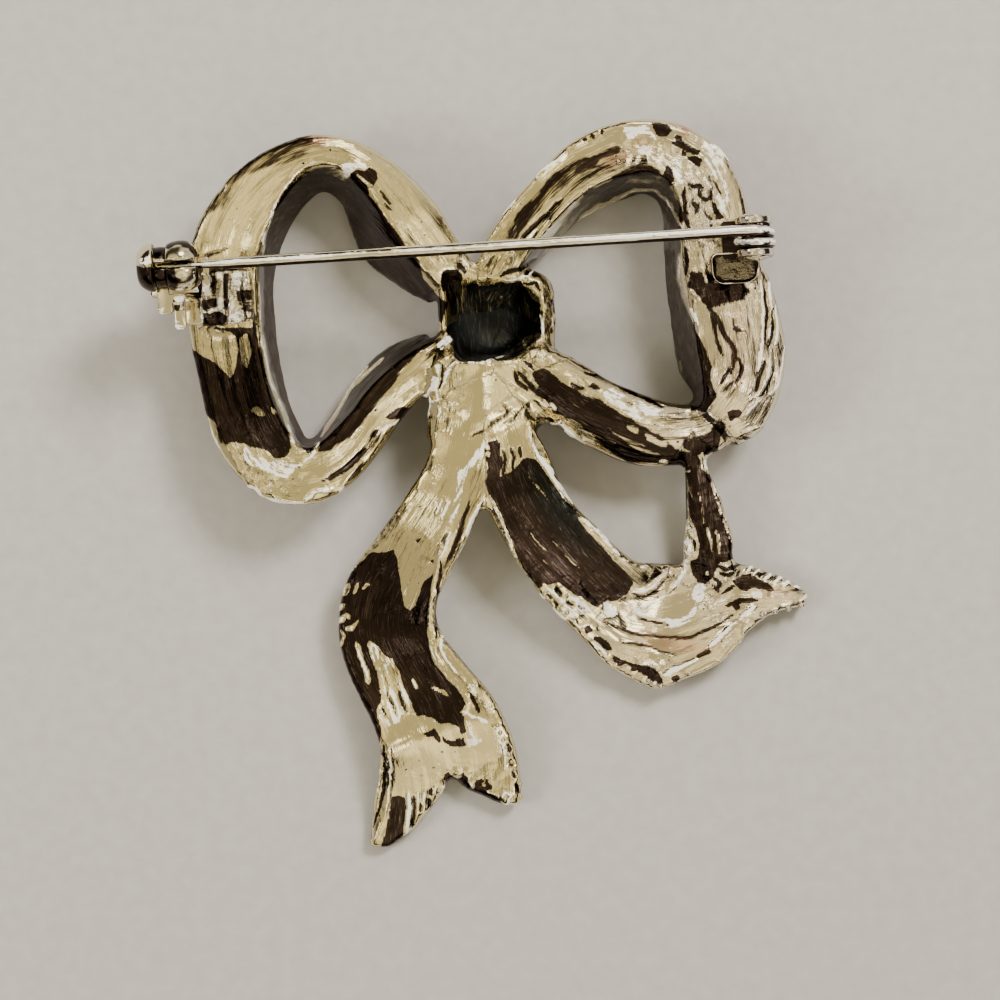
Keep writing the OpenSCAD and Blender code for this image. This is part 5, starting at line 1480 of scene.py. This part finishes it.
def ovals(table, co):
    """For each point the strongest of the table's soft ovals, in plan."""
    value = np.zeros(len(co))
    for x, y, long, wide, angle, strength in table:
        a = math.radians(angle)
        dx, dy = co[:, 0] - x, co[:, 1] - y
        u = (dx * math.cos(a) + dy * math.sin(a)) / long
        v = (dy * math.cos(a) - dx * math.sin(a)) / wide
        here = strength * np.exp(-(u * u + v * v) ** 1.5)
        value = np.where(np.abs(here) > np.abs(value), here, value)
    return value


print(len(BLUSHES), "ovals of blush")

# %% [markdown]
# Rims get a painted highlight and creases painted shade. How far a point stands proud of a well
# smoothed copy of the skin tells which is which. The patches and strokes then go over that. Steep
# walls that are painted darkest are dull, and so is the very hollow of the knot, under its painted
# deep shade.

# %% Rims and creases
CALM_PASSES = 14


def stands_proud(co, normals, ends):
    """How far each point stands out of its surroundings, in millimetres."""
    counts = np.bincount(ends.ravel(), minlength=len(co))[:, None]
    calm = co.copy()
    for _ in range(CALM_PASSES):
        total = np.zeros_like(calm)
        np.add.at(total, ends[:, 0], calm[ends[:, 1]])
        np.add.at(total, ends[:, 1], calm[ends[:, 0]])
        calm = 0.4 * calm + 0.6 * total / counts
    return ((co - calm) * normals).sum(1)


bm.verts.index_update()
co, normals = skin_of(bm)
ends = np.array([[v.index for v in e.verts] for e in bm.edges])
proud = stands_proud(co, normals, ends) * (normals[:, 2] > LOOKS_UP)
print("proud by, in mm:", np.round(np.percentile(proud, [1, 5, 25, 50, 75, 95, 99]), 3))
# Painted dark reflection on steep walls, painted shade in creases and a painted highlight on rims.
tone = painted_wall_reflection(normals, 0.45, 0.1, 0.75)
tone += 0.5 * rise(-proud, 0.03, 0.11) - 0.45 * rise(proud, 0.05, 0.13)
patches = [(patch_reach(shaky, soft, outline) * in_view, value, 0) for value, soft, *outline in PATCHES]
for reach, value, _ in patches + strokes:
    tone = tone * (1 - reach) + value * reach
blush = ovals(BLUSHES, seen(co))
drag = ripple / RIPPLE
dull = rise(tone, 0.8, 1.1) * rise(normals[:, 2], 0.4, 0.1)
dull = np.maximum(dull, np.minimum(rise(-blush, 0.9, 1.4), 0.8) * rise(tone, 0.5, 0.8))
casting = finish_piece("casting", bm, cast_silver, "bow", tone, blush, 4 * crumb, flow,
                       drag, dull)
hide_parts("bow")

# %% [markdown]
# Grains of metal were left along some edges when the casting was cleaned. Each is a small ball that
# is dropped onto the casting along the camera's line, so that it sits where the photograph shows it.

# %% Grains on the edges
GRAINS = [
    # radius, first and last place as the camera sees them, how many
    (0.20, (1.1, -17.5), (3.0, -22.4), 10),
    (0.22, (2.2, -23.0), (2.8, -22.8), 2),
    (0.28, (20.7, -9.3), (24.6, -8.4), 5),
    (0.26, (12.3, -14.2), (13.2, -14.6), 3),
    (0.20, (4.6, -7.8), (6.8, -9.6), 5),
]
surface = BVHTree.FromObject(casting, bpy.context.evaluated_depsgraph_get())
eye = Vector((*CAMERA_XY, CAMERA_Z)) * MM
grains = bmesh.new()
for radius, first, last, count in GRAINS:
    for k in range(count):
        at = Vector(first).lerp(Vector(last), k / (count - 1))
        spot = Vector((*at, SEEN_Z)) * MM
        hit = surface.ray_cast(eye, (spot - eye).normalized())[0]
        if hit is None:
            continue
        size = radius * (1 + 0.3 * noise.noise(Vector((k * 1.7, radius * 9, at.x))))
        place = np.clip(np.array(hit) / MM, low + size, high - size)
        bmesh.ops.create_uvsphere(grains, u_segments=8, v_segments=5, radius=size,
                                  matrix=Matrix.Translation(Vector(place)))
# Their tone below zero paints them partly white, as highlights.
finish_piece("edge_grains", grains, bright_silver, "bow", -0.5)

# %% [markdown]
# ## Findings
#
# The hinge and the catch are bought parts that are soldered on: turned knobs, bent sheet and
# drawn wire. A knob is a profile spun round its axis, a plate is an outline with thickness and
# soft edges, and a wire is a circle that is extruded from point to point.

# %% Helpers for findings
SHARP = 0.6
CORNER_STEPS = 5
WIRE_SIDES = 20


def arc(across, up, to, x=0.0):
    """Part of an ellipse from the x axis, with a point every nine degrees."""
    turns = [math.radians(9 * k) for k in range(to // 9 + 1)]
    return [(x + across * math.cos(a), up * math.sin(a)) for a in turns]


def turned(profile, place, turns=48):
    """A solid of revolution about the local x axis, from (x, radius) points."""
    bm = bmesh.new()
    verts = [bm.verts.new((x, 0, radius)) for x, radius in profile]
    edges = [bm.edges.new(pair) for pair in zip(verts, verts[1:])]
    bmesh.ops.spin(bm, geom=verts + edges, cent=(0, 0, 0), axis=(1, 0, 0), angle=2 * math.pi,
                   steps=turns, use_merge=True)
    bmesh.ops.remove_doubles(bm, verts=bm.verts, dist=0.0005)
    bmesh.ops.recalc_face_normals(bm, faces=bm.faces)
    bmesh.ops.transform(bm, matrix=place, verts=bm.verts)
    return bm


def soften(bm, by):
    """Bevels the sharp edges."""
    sharp = [e for e in bm.edges if e.calc_face_angle(0) > SHARP]
    bmesh.ops.bevel(bm, geom=sharp, offset=by, offset_type="OFFSET", segments=2, profile=0.5,
                    affect="EDGES", material=-1, clamp_overlap=True)


def plate(outline, thick, place, by=0.06):
    """A plate below an outline in local x and y, with soft edges."""
    bm = bmesh.new()
    top = bm.faces.new([bm.verts.new((x, y, 0)) for x, y in outline])
    top.normal_update()
    bm.normal_update()
    bmesh.ops.solidify(bm, geom=[top], thickness=thick)
    top_z = max(v.co.z for v in bm.verts)
    bmesh.ops.translate(bm, vec=(0, 0, -top_z), verts=bm.verts)
    bmesh.ops.recalc_face_normals(bm, faces=bm.faces)
    soften(bm, by)
    bmesh.ops.transform(bm, matrix=place, verts=bm.verts)
    return bm


def rounded(x0, y0, x1, y1, radius, ends=(1, 1, 1, 1)):
    """An outline with rounded corners, from the low left one round to the left."""
    corners = [(x0, y0, 180), (x1, y0, 270), (x1, y1, 0), (x0, y1, 90)]
    outline = []
    for (x, y, start), on in zip(corners, ends):
        r = radius * on
        cx, cy = (x + r if x == x0 else x - r), (y + r if y == y0 else y - r)
        for k in range(CORNER_STEPS + 1) if on else [0]:
            a = math.radians(start + 90 * k / CORNER_STEPS)
            outline.append((cx + r * math.cos(a), cy + r * math.sin(a)))
    return outline


def wire(path, radii):
    """A round wire: a circle that is extruded from point to point, with closed ends."""
    side = Vector((0, 1, 0))
    frames = []
    for k, (at, radius) in enumerate(zip(path, radii)):
        ahead = (path[min(k + 1, len(path) - 1)] - path[max(k - 1, 0)]).normalized()
        across = side.cross(ahead).normalized()
        up = ahead.cross(across)
        turn = Matrix((across, up, ahead)).transposed().to_4x4()
        frames.append(Matrix.Translation(at) @ turn @ Matrix.Scale(radius, 4))
    bm = bmesh.new()
    ring = bmesh.ops.create_circle(bm, radius=1, segments=WIRE_SIDES)["verts"]
    edges = list(bm.edges)
    bmesh.ops.transform(bm, matrix=frames[0], verts=ring)
    for before, after in zip(frames, frames[1:]):
        made = bmesh.ops.extrude_edge_only(bm, edges=edges)["geom"]
        ring = {part for part in made if isinstance(part, bmesh.types.BMVert)}
        edges = [part for part in made if isinstance(part, bmesh.types.BMEdge) and set(part.verts) <= ring]
        bmesh.ops.transform(bm, matrix=after @ before.inverted(), verts=list(ring))
    bmesh.ops.holes_fill(bm, edges=[e for e in bm.edges if e.is_boundary], sides=0)
    bmesh.ops.recalc_face_normals(bm, faces=bm.faces)
    return bm


def painted_low_shade(bm, place, level, fade, most):
    """The tone of a piece whose low parts, under a level of its local frame, are painted dark as shade."""
    normals = skin_of(bm)[1]
    height = np.array([(place.inverted() @ v.co).z for v in bm.verts])
    return np.maximum(painted_wall_reflection(normals), most * rise(height, level + fade, level))


def cut_away(bm, cutter):
    """The first mesh without the second."""
    thing, tool = in_passing("cut_piece", bm), in_passing("cut_tool", cutter)
    carve(thing, tool)
    return worked(thing, tool)


def together(*parts):
    """One mesh of several."""
    whole = parts[0]
    for part in parts[1:]:
        passing = bpy.data.meshes.new("passing")
        part.to_mesh(passing)
        part.free()
        whole.from_mesh(passing)
        bpy.data.meshes.remove(passing)
    return whole


def lumpy(low, high, place, cuts, fall, ridge, lump):
    """A low cushion of solder: its top falls away to the edges, with ridges along y and lumps."""
    bm = block(low, high, Matrix())
    bmesh.ops.subdivide_edges(bm, edges=bm.edges, cuts=cuts, use_grid_fill=True)
    middle, half = (Vector(high) + Vector(low)) / 2, (Vector(high) - Vector(low)) / 2
    for vert in bm.verts:
        u, v, w = ((vert.co[k] - middle[k]) / half[k] for k in range(3))
        up = (w + 1) / 2
        round_off = 1 - 0.10 * up * (abs(u) ** 3 + abs(v) ** 3)
        vert.co.x = middle.x + half.x * u * round_off
        vert.co.y = middle.y + half.y * v * round_off
        vert.co.z -= up * fall * (u ** 4 + v ** 4)
        vert.co.z += up * ridge * noise.noise(Vector((vert.co.x * 1.6, vert.co.y * 0.25, 3.3)))
        vert.co.z += up * lump * noise.noise(vert.co * 1.7)
    bmesh.ops.recalc_face_normals(bm, faces=bm.faces)
    bmesh.ops.transform(bm, matrix=place, verts=bm.verts)
    return bm


# %% [markdown]
# ## Pin stem
#
# One piece of springy wire is the stem: a long straight shaft, a thinner end that drops into the
# catch, and at the hinge a coil of one turn and a quarter round the rivet. All of it is one path.
# Its near side is painted dark, as the dark room mirrored in it, and a highlight is painted along the middle
# of its back.

# %% Pin stem
WIRE_R = 0.42
NECK_R = 0.24
COIL_R, COIL_TURNS, COIL_STEPS = 1.12, 1.25, 44
COIL_FAR, COIL_NEAR = 0.386, -0.52
SHAFT_FROM, SHAFT_TO, TIP = -1.8, -40.5, -43.6
SHAFT = [
    # place along the stem, radius
    (TIP, 0.05),
    (TIP + 0.05, 0.10),
    (TIP + 1.2, 0.2),
    (SHAFT_TO - 0.4, NECK_R),
    (SHAFT_TO, NECK_R),
    (SHAFT_TO + 2.2, WIRE_R),
    (SHAFT_FROM, WIRE_R),
]
path = [Vector((x, COIL_FAR, COIL_R)) for x, _ in SHAFT]
for k in range(COIL_STEPS + 1):
    turn = 2 * math.pi * COIL_TURNS * k / COIL_STEPS
    y = COIL_FAR + (COIL_NEAR - COIL_FAR) * min(1, turn / (2 * math.pi))
    path.append(Vector((COIL_R * math.sin(turn), y, COIL_R * math.cos(turn))))
radii = [radius for _, radius in SHAFT] + [WIRE_R] * (COIL_STEPS + 1)
bm = wire(path, radii)
bm.normal_update()
side = np.array([v.normal.y for v in bm.verts])
# Painted dark reflection on the near side, and a painted highlight along the middle of the back.
stem_painted_light = 1.1 * rise(-side, 0.45, 0.7) - 1.15 * np.exp(-((side - 0.15) / 0.4) ** 2)
bmesh.ops.transform(bm, matrix=HINGE, verts=bm.verts)
stem = finish_piece("stem_wire", bm, drawn_steel, "pin_stem", stem_painted_light)
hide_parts("pin_stem")

# %% [markdown]
# ## Hinge
#
# A strip of sheet is bent up into two round cheeks, and a headed rivet goes through them and the
# coil. An ear of the same sheet reaches out on the near side: a shallow tray with solder in it.

# %% Rivet
HEAD_AT, HEAD_R, RIVET_R, DOME = 1.465, 0.98, 0.65, 0.31
head = arc(DOME, HEAD_R, 90, HEAD_AT) + [(HEAD_AT, HEAD_R), (HEAD_AT, RIVET_R)]
profile = head + [(-x, r) for x, r in reversed(head)]
bm = turned(profile, HINGE @ Matrix.Rotation(math.pi / 2, 4, "Z"), 32)
rivet = finish_piece("rivet", bm, bright_silver, "bow")
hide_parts("hinge_rivet")

# %% [markdown]
# The strip lies flat between the cheeks. Low places of the bracket are painted dark, as shade.

# %% Bracket
CHEEK_R, CHEEK_IN, SHEET, BASE_Z = 1.372, 0.94, 0.5, -1.74
EAR = (-3.1, -3.2, 0.4, -0.9)
cheek = arc(CHEEK_R, CHEEK_R, 180) + [(-CHEEK_R, BASE_Z), (CHEEK_R, BASE_Z)]
upright = Matrix.Rotation(math.pi / 2, 4, "X")
parts = []
for y in (-CHEEK_IN - SHEET, CHEEK_IN):
    parts.append(plate(cheek, SHEET, HINGE @ Matrix.Translation((0, y, 0)) @ upright))
base = rounded(-2.228, -CHEEK_IN - SHEET, CHEEK_R, CHEEK_IN + SHEET, 0.3)
parts.append(plate(base, SHEET, HINGE @ Matrix.Translation((0, 0, BASE_Z))))
bm = together(*parts)
# The bracket's low parts are painted dark, as shade.
painted_dark = painted_low_shade(bm, HINGE, BASE_Z + 0.2, 0.9, 1.0)
finish_piece("hinge_bracket", bm, bright_silver, "bow", painted_dark)

# %% [markdown]
# The ear is a plate whose top face is inset and sunk. Old dark solder fills it, lumpy as it set.

# %% Ear of the bracket, with its solder
RIM, TRAY_DEEP = 0.14, 0.3
tray = plate(rounded(*EAR, 0.9, (1, 1.2, 0, 0.5)), SHEET, Matrix(), 0.03)
tray.faces.ensure_lookup_table()
floor_face = max(tray.faces, key=lambda f: (f.normal.z > 0.99) * f.calc_area())
bmesh.ops.inset_region(tray, faces=[floor_face], thickness=RIM, use_even_offset=True)
bmesh.ops.translate(tray, vec=(0, 0, -TRAY_DEEP), verts=floor_face.verts)
bmesh.ops.transform(tray, matrix=HINGE @ Matrix.Translation((0, 0, BASE_Z + 0.12)), verts=tray.verts)
# The ear's low parts are painted dark, as shade.
painted_dark = painted_low_shade(tray, HINGE, BASE_Z - 0.2, 0.25, 1.2)
finish_piece("hinge_ear", tray, bright_silver, "bow", painted_dark)
x0, y0, x1, y1 = EAR
bm = lumpy((x0 + RIM, y0 + RIM, BASE_Z - 0.4), (x1 - RIM, y1, BASE_Z + 0.02), HINGE,
           cuts=22, fall=0.16, ridge=0.05, lump=0.16)
finish_piece("hinge_solder", bm, old_solder, "bow")

# %% [markdown]
# ## Catch
#
# Two domed cheeks hold a barrel between them, all turned. The cheek on the stem's side is open
# from above, so that the stem can drop in, and the barrel then rolls round it with its thumb tab.

# %% Painted reflections and highlights of the catch
# A tone above zero paints the catch dark, below zero white as a highlight. The dark rows are painted
# reflections of the dark room, except the rows named shade or gaps, which are painted shade.
CATCH_PATCHES = [
    # tone, softness of the edge, outline
    # left cheek, white band
    (-1, 0.08, (-25.5, 17.1), (-24.6, 17.3), (-24.5, 16.7), (-25, 16.5), (-25.5, 16.7)),
    # dark side of both cheeks
    (1.1, 0.11, (-25.7, 16.5), (-25, 16.4), (-24.5, 16.5), (-24.4, 16.3), (-23.5, 16.2), (-22.9, 16.4),
     (-22.8, 15.6), (-22.7, 14.9), (-22.9, 14.5), (-23.5, 14.6), (-24.1, 14.4), (-24.8, 14.4), (-25.4, 15),
     (-25.7, 15.8)),
    # edge of the dark side
    (0.5, 0.08, (-22.8, 15.8), (-22.4, 15.5), (-22.4, 15), (-22.6, 14.7), (-22.8, 15.2)),
    # neck
    (1.4, 0.08, (-24.5, 18.2), (-23.6, 18.2), (-23.6, 17.1), (-24.4, 17)),
    (-1, 0.08, (-24.4, 16.9), (-23.7, 17), (-23.6, 16.5), (-24.4, 16.4)),
    # right cheek, dark top edge
    (0.9, 0.08, (-23.7, 17.9), (-23, 18.5), (-22.1, 18.5), (-21.4, 17.9), (-21, 17.3), (-21.3, 17.2),
     (-21.8, 17.8), (-22.6, 18.1), (-23.3, 17.8)),
    # grey side
    (0.1, 0.11, (-22.2, 17.6), (-21.6, 17.3), (-21.5, 16.4), (-21.8, 15.4), (-22.3, 15.2), (-22.4, 15.9),
     (-22.1, 16.7)),
    # bright rim
    (-1, 0.08, (-21.5, 17.3), (-21.2, 16.8), (-21.1, 16.1), (-21.3, 15.3), (-21.8, 14.7), (-21.9, 15),
     (-21.5, 15.6), (-21.4, 16.2)),
    # tab, brown spot
    (0.8, 0.08, (-22.9, 13.6), (-22.4, 13.7), (-22.4, 13.3), (-22.7, 13.1)),
    # painted highlights on the edges of the tab
    (-1.1, 0.08, (-24.1, 13.2), (-23.1, 13), (-23.1, 12.7), (-24.1, 12.7)),
    (-1.1, 0.08, (-23, 14.7), (-22.4, 14.7), (-22, 14.3), (-22.1, 13.8), (-22.6, 13.8), (-23, 14.1)),
    (-1.1, 0.08, (-23, 13), (-22.1, 13.1), (-22.1, 11.7), (-22.9, 11.7)),
    # second foot
    (-1.4, 0.08, (-21.8, 14.2), (-21, 14.2), (-20.7, 12.5), (-21.3, 12.3), (-21.7, 13.3)),
    (1.2, 0.08, (-21.9, 13.8), (-21.7, 13.8), (-21.4, 12.8), (-21.2, 12.2), (-21.6, 11.9), (-21.8, 12.7)),
    # shade of the stem
    (1.2, 0.08, (-21.3, 16.5), (-16.4, 16.7), (-16.4, 16.2), (-18.7, 16.2), (-21.2, 15.9)),
    # pad, painted shade in the gaps
    (1.2, 0.08, (-21.3, 16.1), (-20.7, 16.1), (-20.8, 14.7), (-20.9, 14.1), (-21.3, 14.2)),
    (0.6, 0.08, (-20.1, 15.8), (-19.7, 15.8), (-19.7, 14.3), (-20.1, 14.2)),
    (0.9, 0.08, (-19.2, 16), (-18.8, 16), (-18.9, 14.7), (-18.8, 14), (-19.2, 14.2)),
    (1.2, 0.08, (-20.8, 14), (-19.7, 14.1), (-19.8, 13.3), (-20.4, 13.1), (-20.7, 13.3)),
    (1.2, 0.08, (-20.7, 13), (-19.6, 13.2), (-18.8, 12.7), (-19.3, 12.1), (-20.7, 12.1)),
    (0.8, 0.08, (-18.3, 14.7), (-16.8, 14.8), (-16.9, 14), (-18.1, 14)),
    (0.5, 0.11, (-18.1, 14), (-17, 14), (-17, 13), (-17.5, 13.1), (-18, 13.4)),
    (0.9, 0.08, (-19.2, 14), (-18.8, 14), (-18.9, 13.2), (-19.2, 13.4)),
    (-0.9, 0.08, (-20.4, 13.3), (-19.3, 13.6), (-19.3, 13.3), (-20.3, 13)),
    # pad, painted highlights on the ridges
    (-1, 0.08, (-20.7, 15.9), (-20.1, 15.9), (-20.2, 14.7), (-20.1, 14.2), (-20.6, 14.2), (-20.7, 14.9)),
    (-1.2, 0.08, (-19.7, 16), (-19.3, 16), (-19.3, 15.6), (-19.7, 15.6)),
    (-1.2, 0.08, (-19.7, 14.2), (-19.3, 14.2), (-19.3, 13.3), (-19.6, 13.3)),
    (-1, 0.08, (-18.7, 16), (-17.8, 16.1), (-17.8, 15.5), (-18.1, 14.9), (-18.7, 14.7)),
    (-1.2, 0.08, (-18.7, 14.4), (-18.4, 14.4), (-18.4, 13.2), (-18.7, 13.2)),
    (-0.85, 0.08, (-18.9, 12.8), (-18.1, 13.3), (-17.7, 13), (-17.3, 12.4), (-17.4, 11.7), (-18, 11.9),
     (-18.4, 11.7), (-18.9, 12.1)),
    (-0.9, 0.08, (-17, 16.2), (-16.4, 16.2), (-16.4, 14.9), (-17, 14.7)),
]


def dappled(bm, rows):
    """The tone of a piece with painted reflections, shade and highlights on it, as the camera sees them."""
    co, normals = skin_of(bm)
    tone = painted_wall_reflection(normals)
    for value, soft, *outline in rows:
        reach = patch_reach(seen(co), soft, outline) * facing(normals)
        tone = tone * (1 - reach) + value * reach
    return tone


print(len(CATCH_PATCHES), "patches on the catch")

# %% [markdown]
# Each cheek is a profile turned about the barrel's axis. A web joins them below, and two foot
# plates carry them, the second one a little higher.

# %% Catch housing
MOUTH = 0.28
# place along the axis, radius
FRONT = [(0.48, 0.99), (0.48, 1.58), (0.56, 1.68), (0.9, 1.81), (1.446, 1.88), (2.0, 1.80), (2.5, 1.57),
         (2.72, 1.36), (2.78, 1.24), (2.72, 1.10), (2.6, 0.85), (2.47, 0.5), (2.44, 0.38), (2.3, 0.38),
         (0.9, 0.38)]
BACK = [(-0.48, 0.99), (-0.48, 1.66), (-0.58, 1.76), (-0.9, 1.73), (-1.3, 1.52), (-1.6, 1.22), (-1.71, 0.9),
        (-1.73, 0.5), (-1.73, 0.0)]
FEET = [
    # x, y, long, wide, raised by
    (-1.3, -1.9, 4.5, 2.8, 0.0),
    (1.15, -4.1, 1.4, 2.4, 0.12),
]
PLATE_TOP, FOOT_T = -3.104, 0.9
RECESS = 0.98
WEB = ((-1.48, -0.95, -3.55), (2.5, 0.95, -0.95))
PROFILE_STEPS = 3


def even_profile(points):
    """More points on a smooth profile, none past the axis."""
    return [(p.x, max(p.y, 0)) for p in spline([Vector(point) for point in points], PROFILE_STEPS)]


front = even_profile(FRONT[1:-1]) + [FRONT[-1], (RECESS, 0.99), FRONT[0], FRONT[1]]
front = turned(front, Matrix())
front = cut_away(front, block((0.3, -MOUTH, 0), (4, MOUTH, 4), Matrix()))
back = even_profile(BACK[1:]) + [(-RECESS, 0.0), (-RECESS, 0.99), BACK[0], BACK[1]]
back = turned(back, Matrix())
web = block(*WEB, Matrix())
soften(web, 0.12)
feet = []
for x, y, long, wide, raised in FEET:
    place = Matrix.Translation((0, 0, PLATE_TOP + raised))
    feet.append(plate(rounded(x, y, x + long, y + wide, 0.25), FOOT_T, place, 0.12))
bm = together(front, back, web, *feet)
bmesh.ops.transform(bm, matrix=CATCH, verts=bm.verts)
finish_piece("catch_housing", bm, bright_silver, "bow", dappled(bm, CATCH_PATCHES))

# %% [markdown]
# The solder that holds the feet ran out to the right and set in ridges.

# %% Solder pad of the catch
bm = lumpy((1.9, -4.4, PLATE_TOP - FOOT_T), (6.4, 0.2, PLATE_TOP + 0.3), CATCH,
           cuts=40, fall=0.3, ridge=0.5, lump=0.22)
finish_piece("catch_solder", bm, solder, "bow", dappled(bm, CATCH_PATCHES))

# %% [markdown]
# The barrel turns between the cheeks on two thick ends. Its slot lines up with the mouth of the
# cheek at rest. The tab is a plate with two prongs, and a lump of solder holds it.

# %% Barrel with its forked thumb tab
BARREL_R, TRUNNION_R, BARREL_HALF, TRUNNION_END = 1.5, 0.95, 0.43, 0.93
TAB_TOP, TAB_T = -0.05, 0.5
TAB = [(-0.43, -0.7), (-0.43, -3.2), (-0.25, -3.4), (0.45, -3.4), (0.63, -3.2), (0.63, -2.6), (0.73, -2.6),
       (0.73, -4.4), (0.9, -4.6), (1.4, -4.6), (1.55, -4.4), (1.55, -2.2), (1.35, -2.0), (0.43, -2.0),
       (0.43, -0.7)]
half = [(BARREL_HALF, 1.42), (BARREL_HALF, TRUNNION_R), (TRUNNION_END, TRUNNION_R), (TRUNNION_END, 0.0)]
crown = [(0.0, BARREL_R), (0.25, 1.49), (0.38, 1.46)]
profile = [(-x, r) for x, r in reversed(crown + half)] + (crown + half)[1:]
roller = turned(profile, Matrix())
roller = cut_away(roller, block((-0.6, -MOUTH, 0), (1.5, MOUTH, 3), Matrix()))
tab = plate(TAB, TAB_T, Matrix.Translation((0, 0, TAB_TOP)), 0.05)
bm = together(roller, tab)
bmesh.ops.transform(bm, matrix=CATCH, verts=bm.verts)
barrel = finish_piece("barrel", bm, bright_silver, "catch_barrel", dappled(bm, CATCH_PATCHES))
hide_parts("catch_barrel")
bm = lumpy((0.64, -3.3, TAB_TOP - 0.25), (1.56, -2.1, TAB_TOP + 0.16), CATCH,
           cuts=14, fall=0.12, ridge=0.1, lump=0.35)
finish_piece("tab_lump", bm, solder, "catch_barrel", dappled(bm, CATCH_PATCHES))

# %% [markdown]
# ## Size
#
# The boxes of the CAD model and of the dressed brooch are gathered in one table.

# %% Size
size = {"cad": [list(corner) for corner in cad_box], "visual": [list(corner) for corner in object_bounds()]}
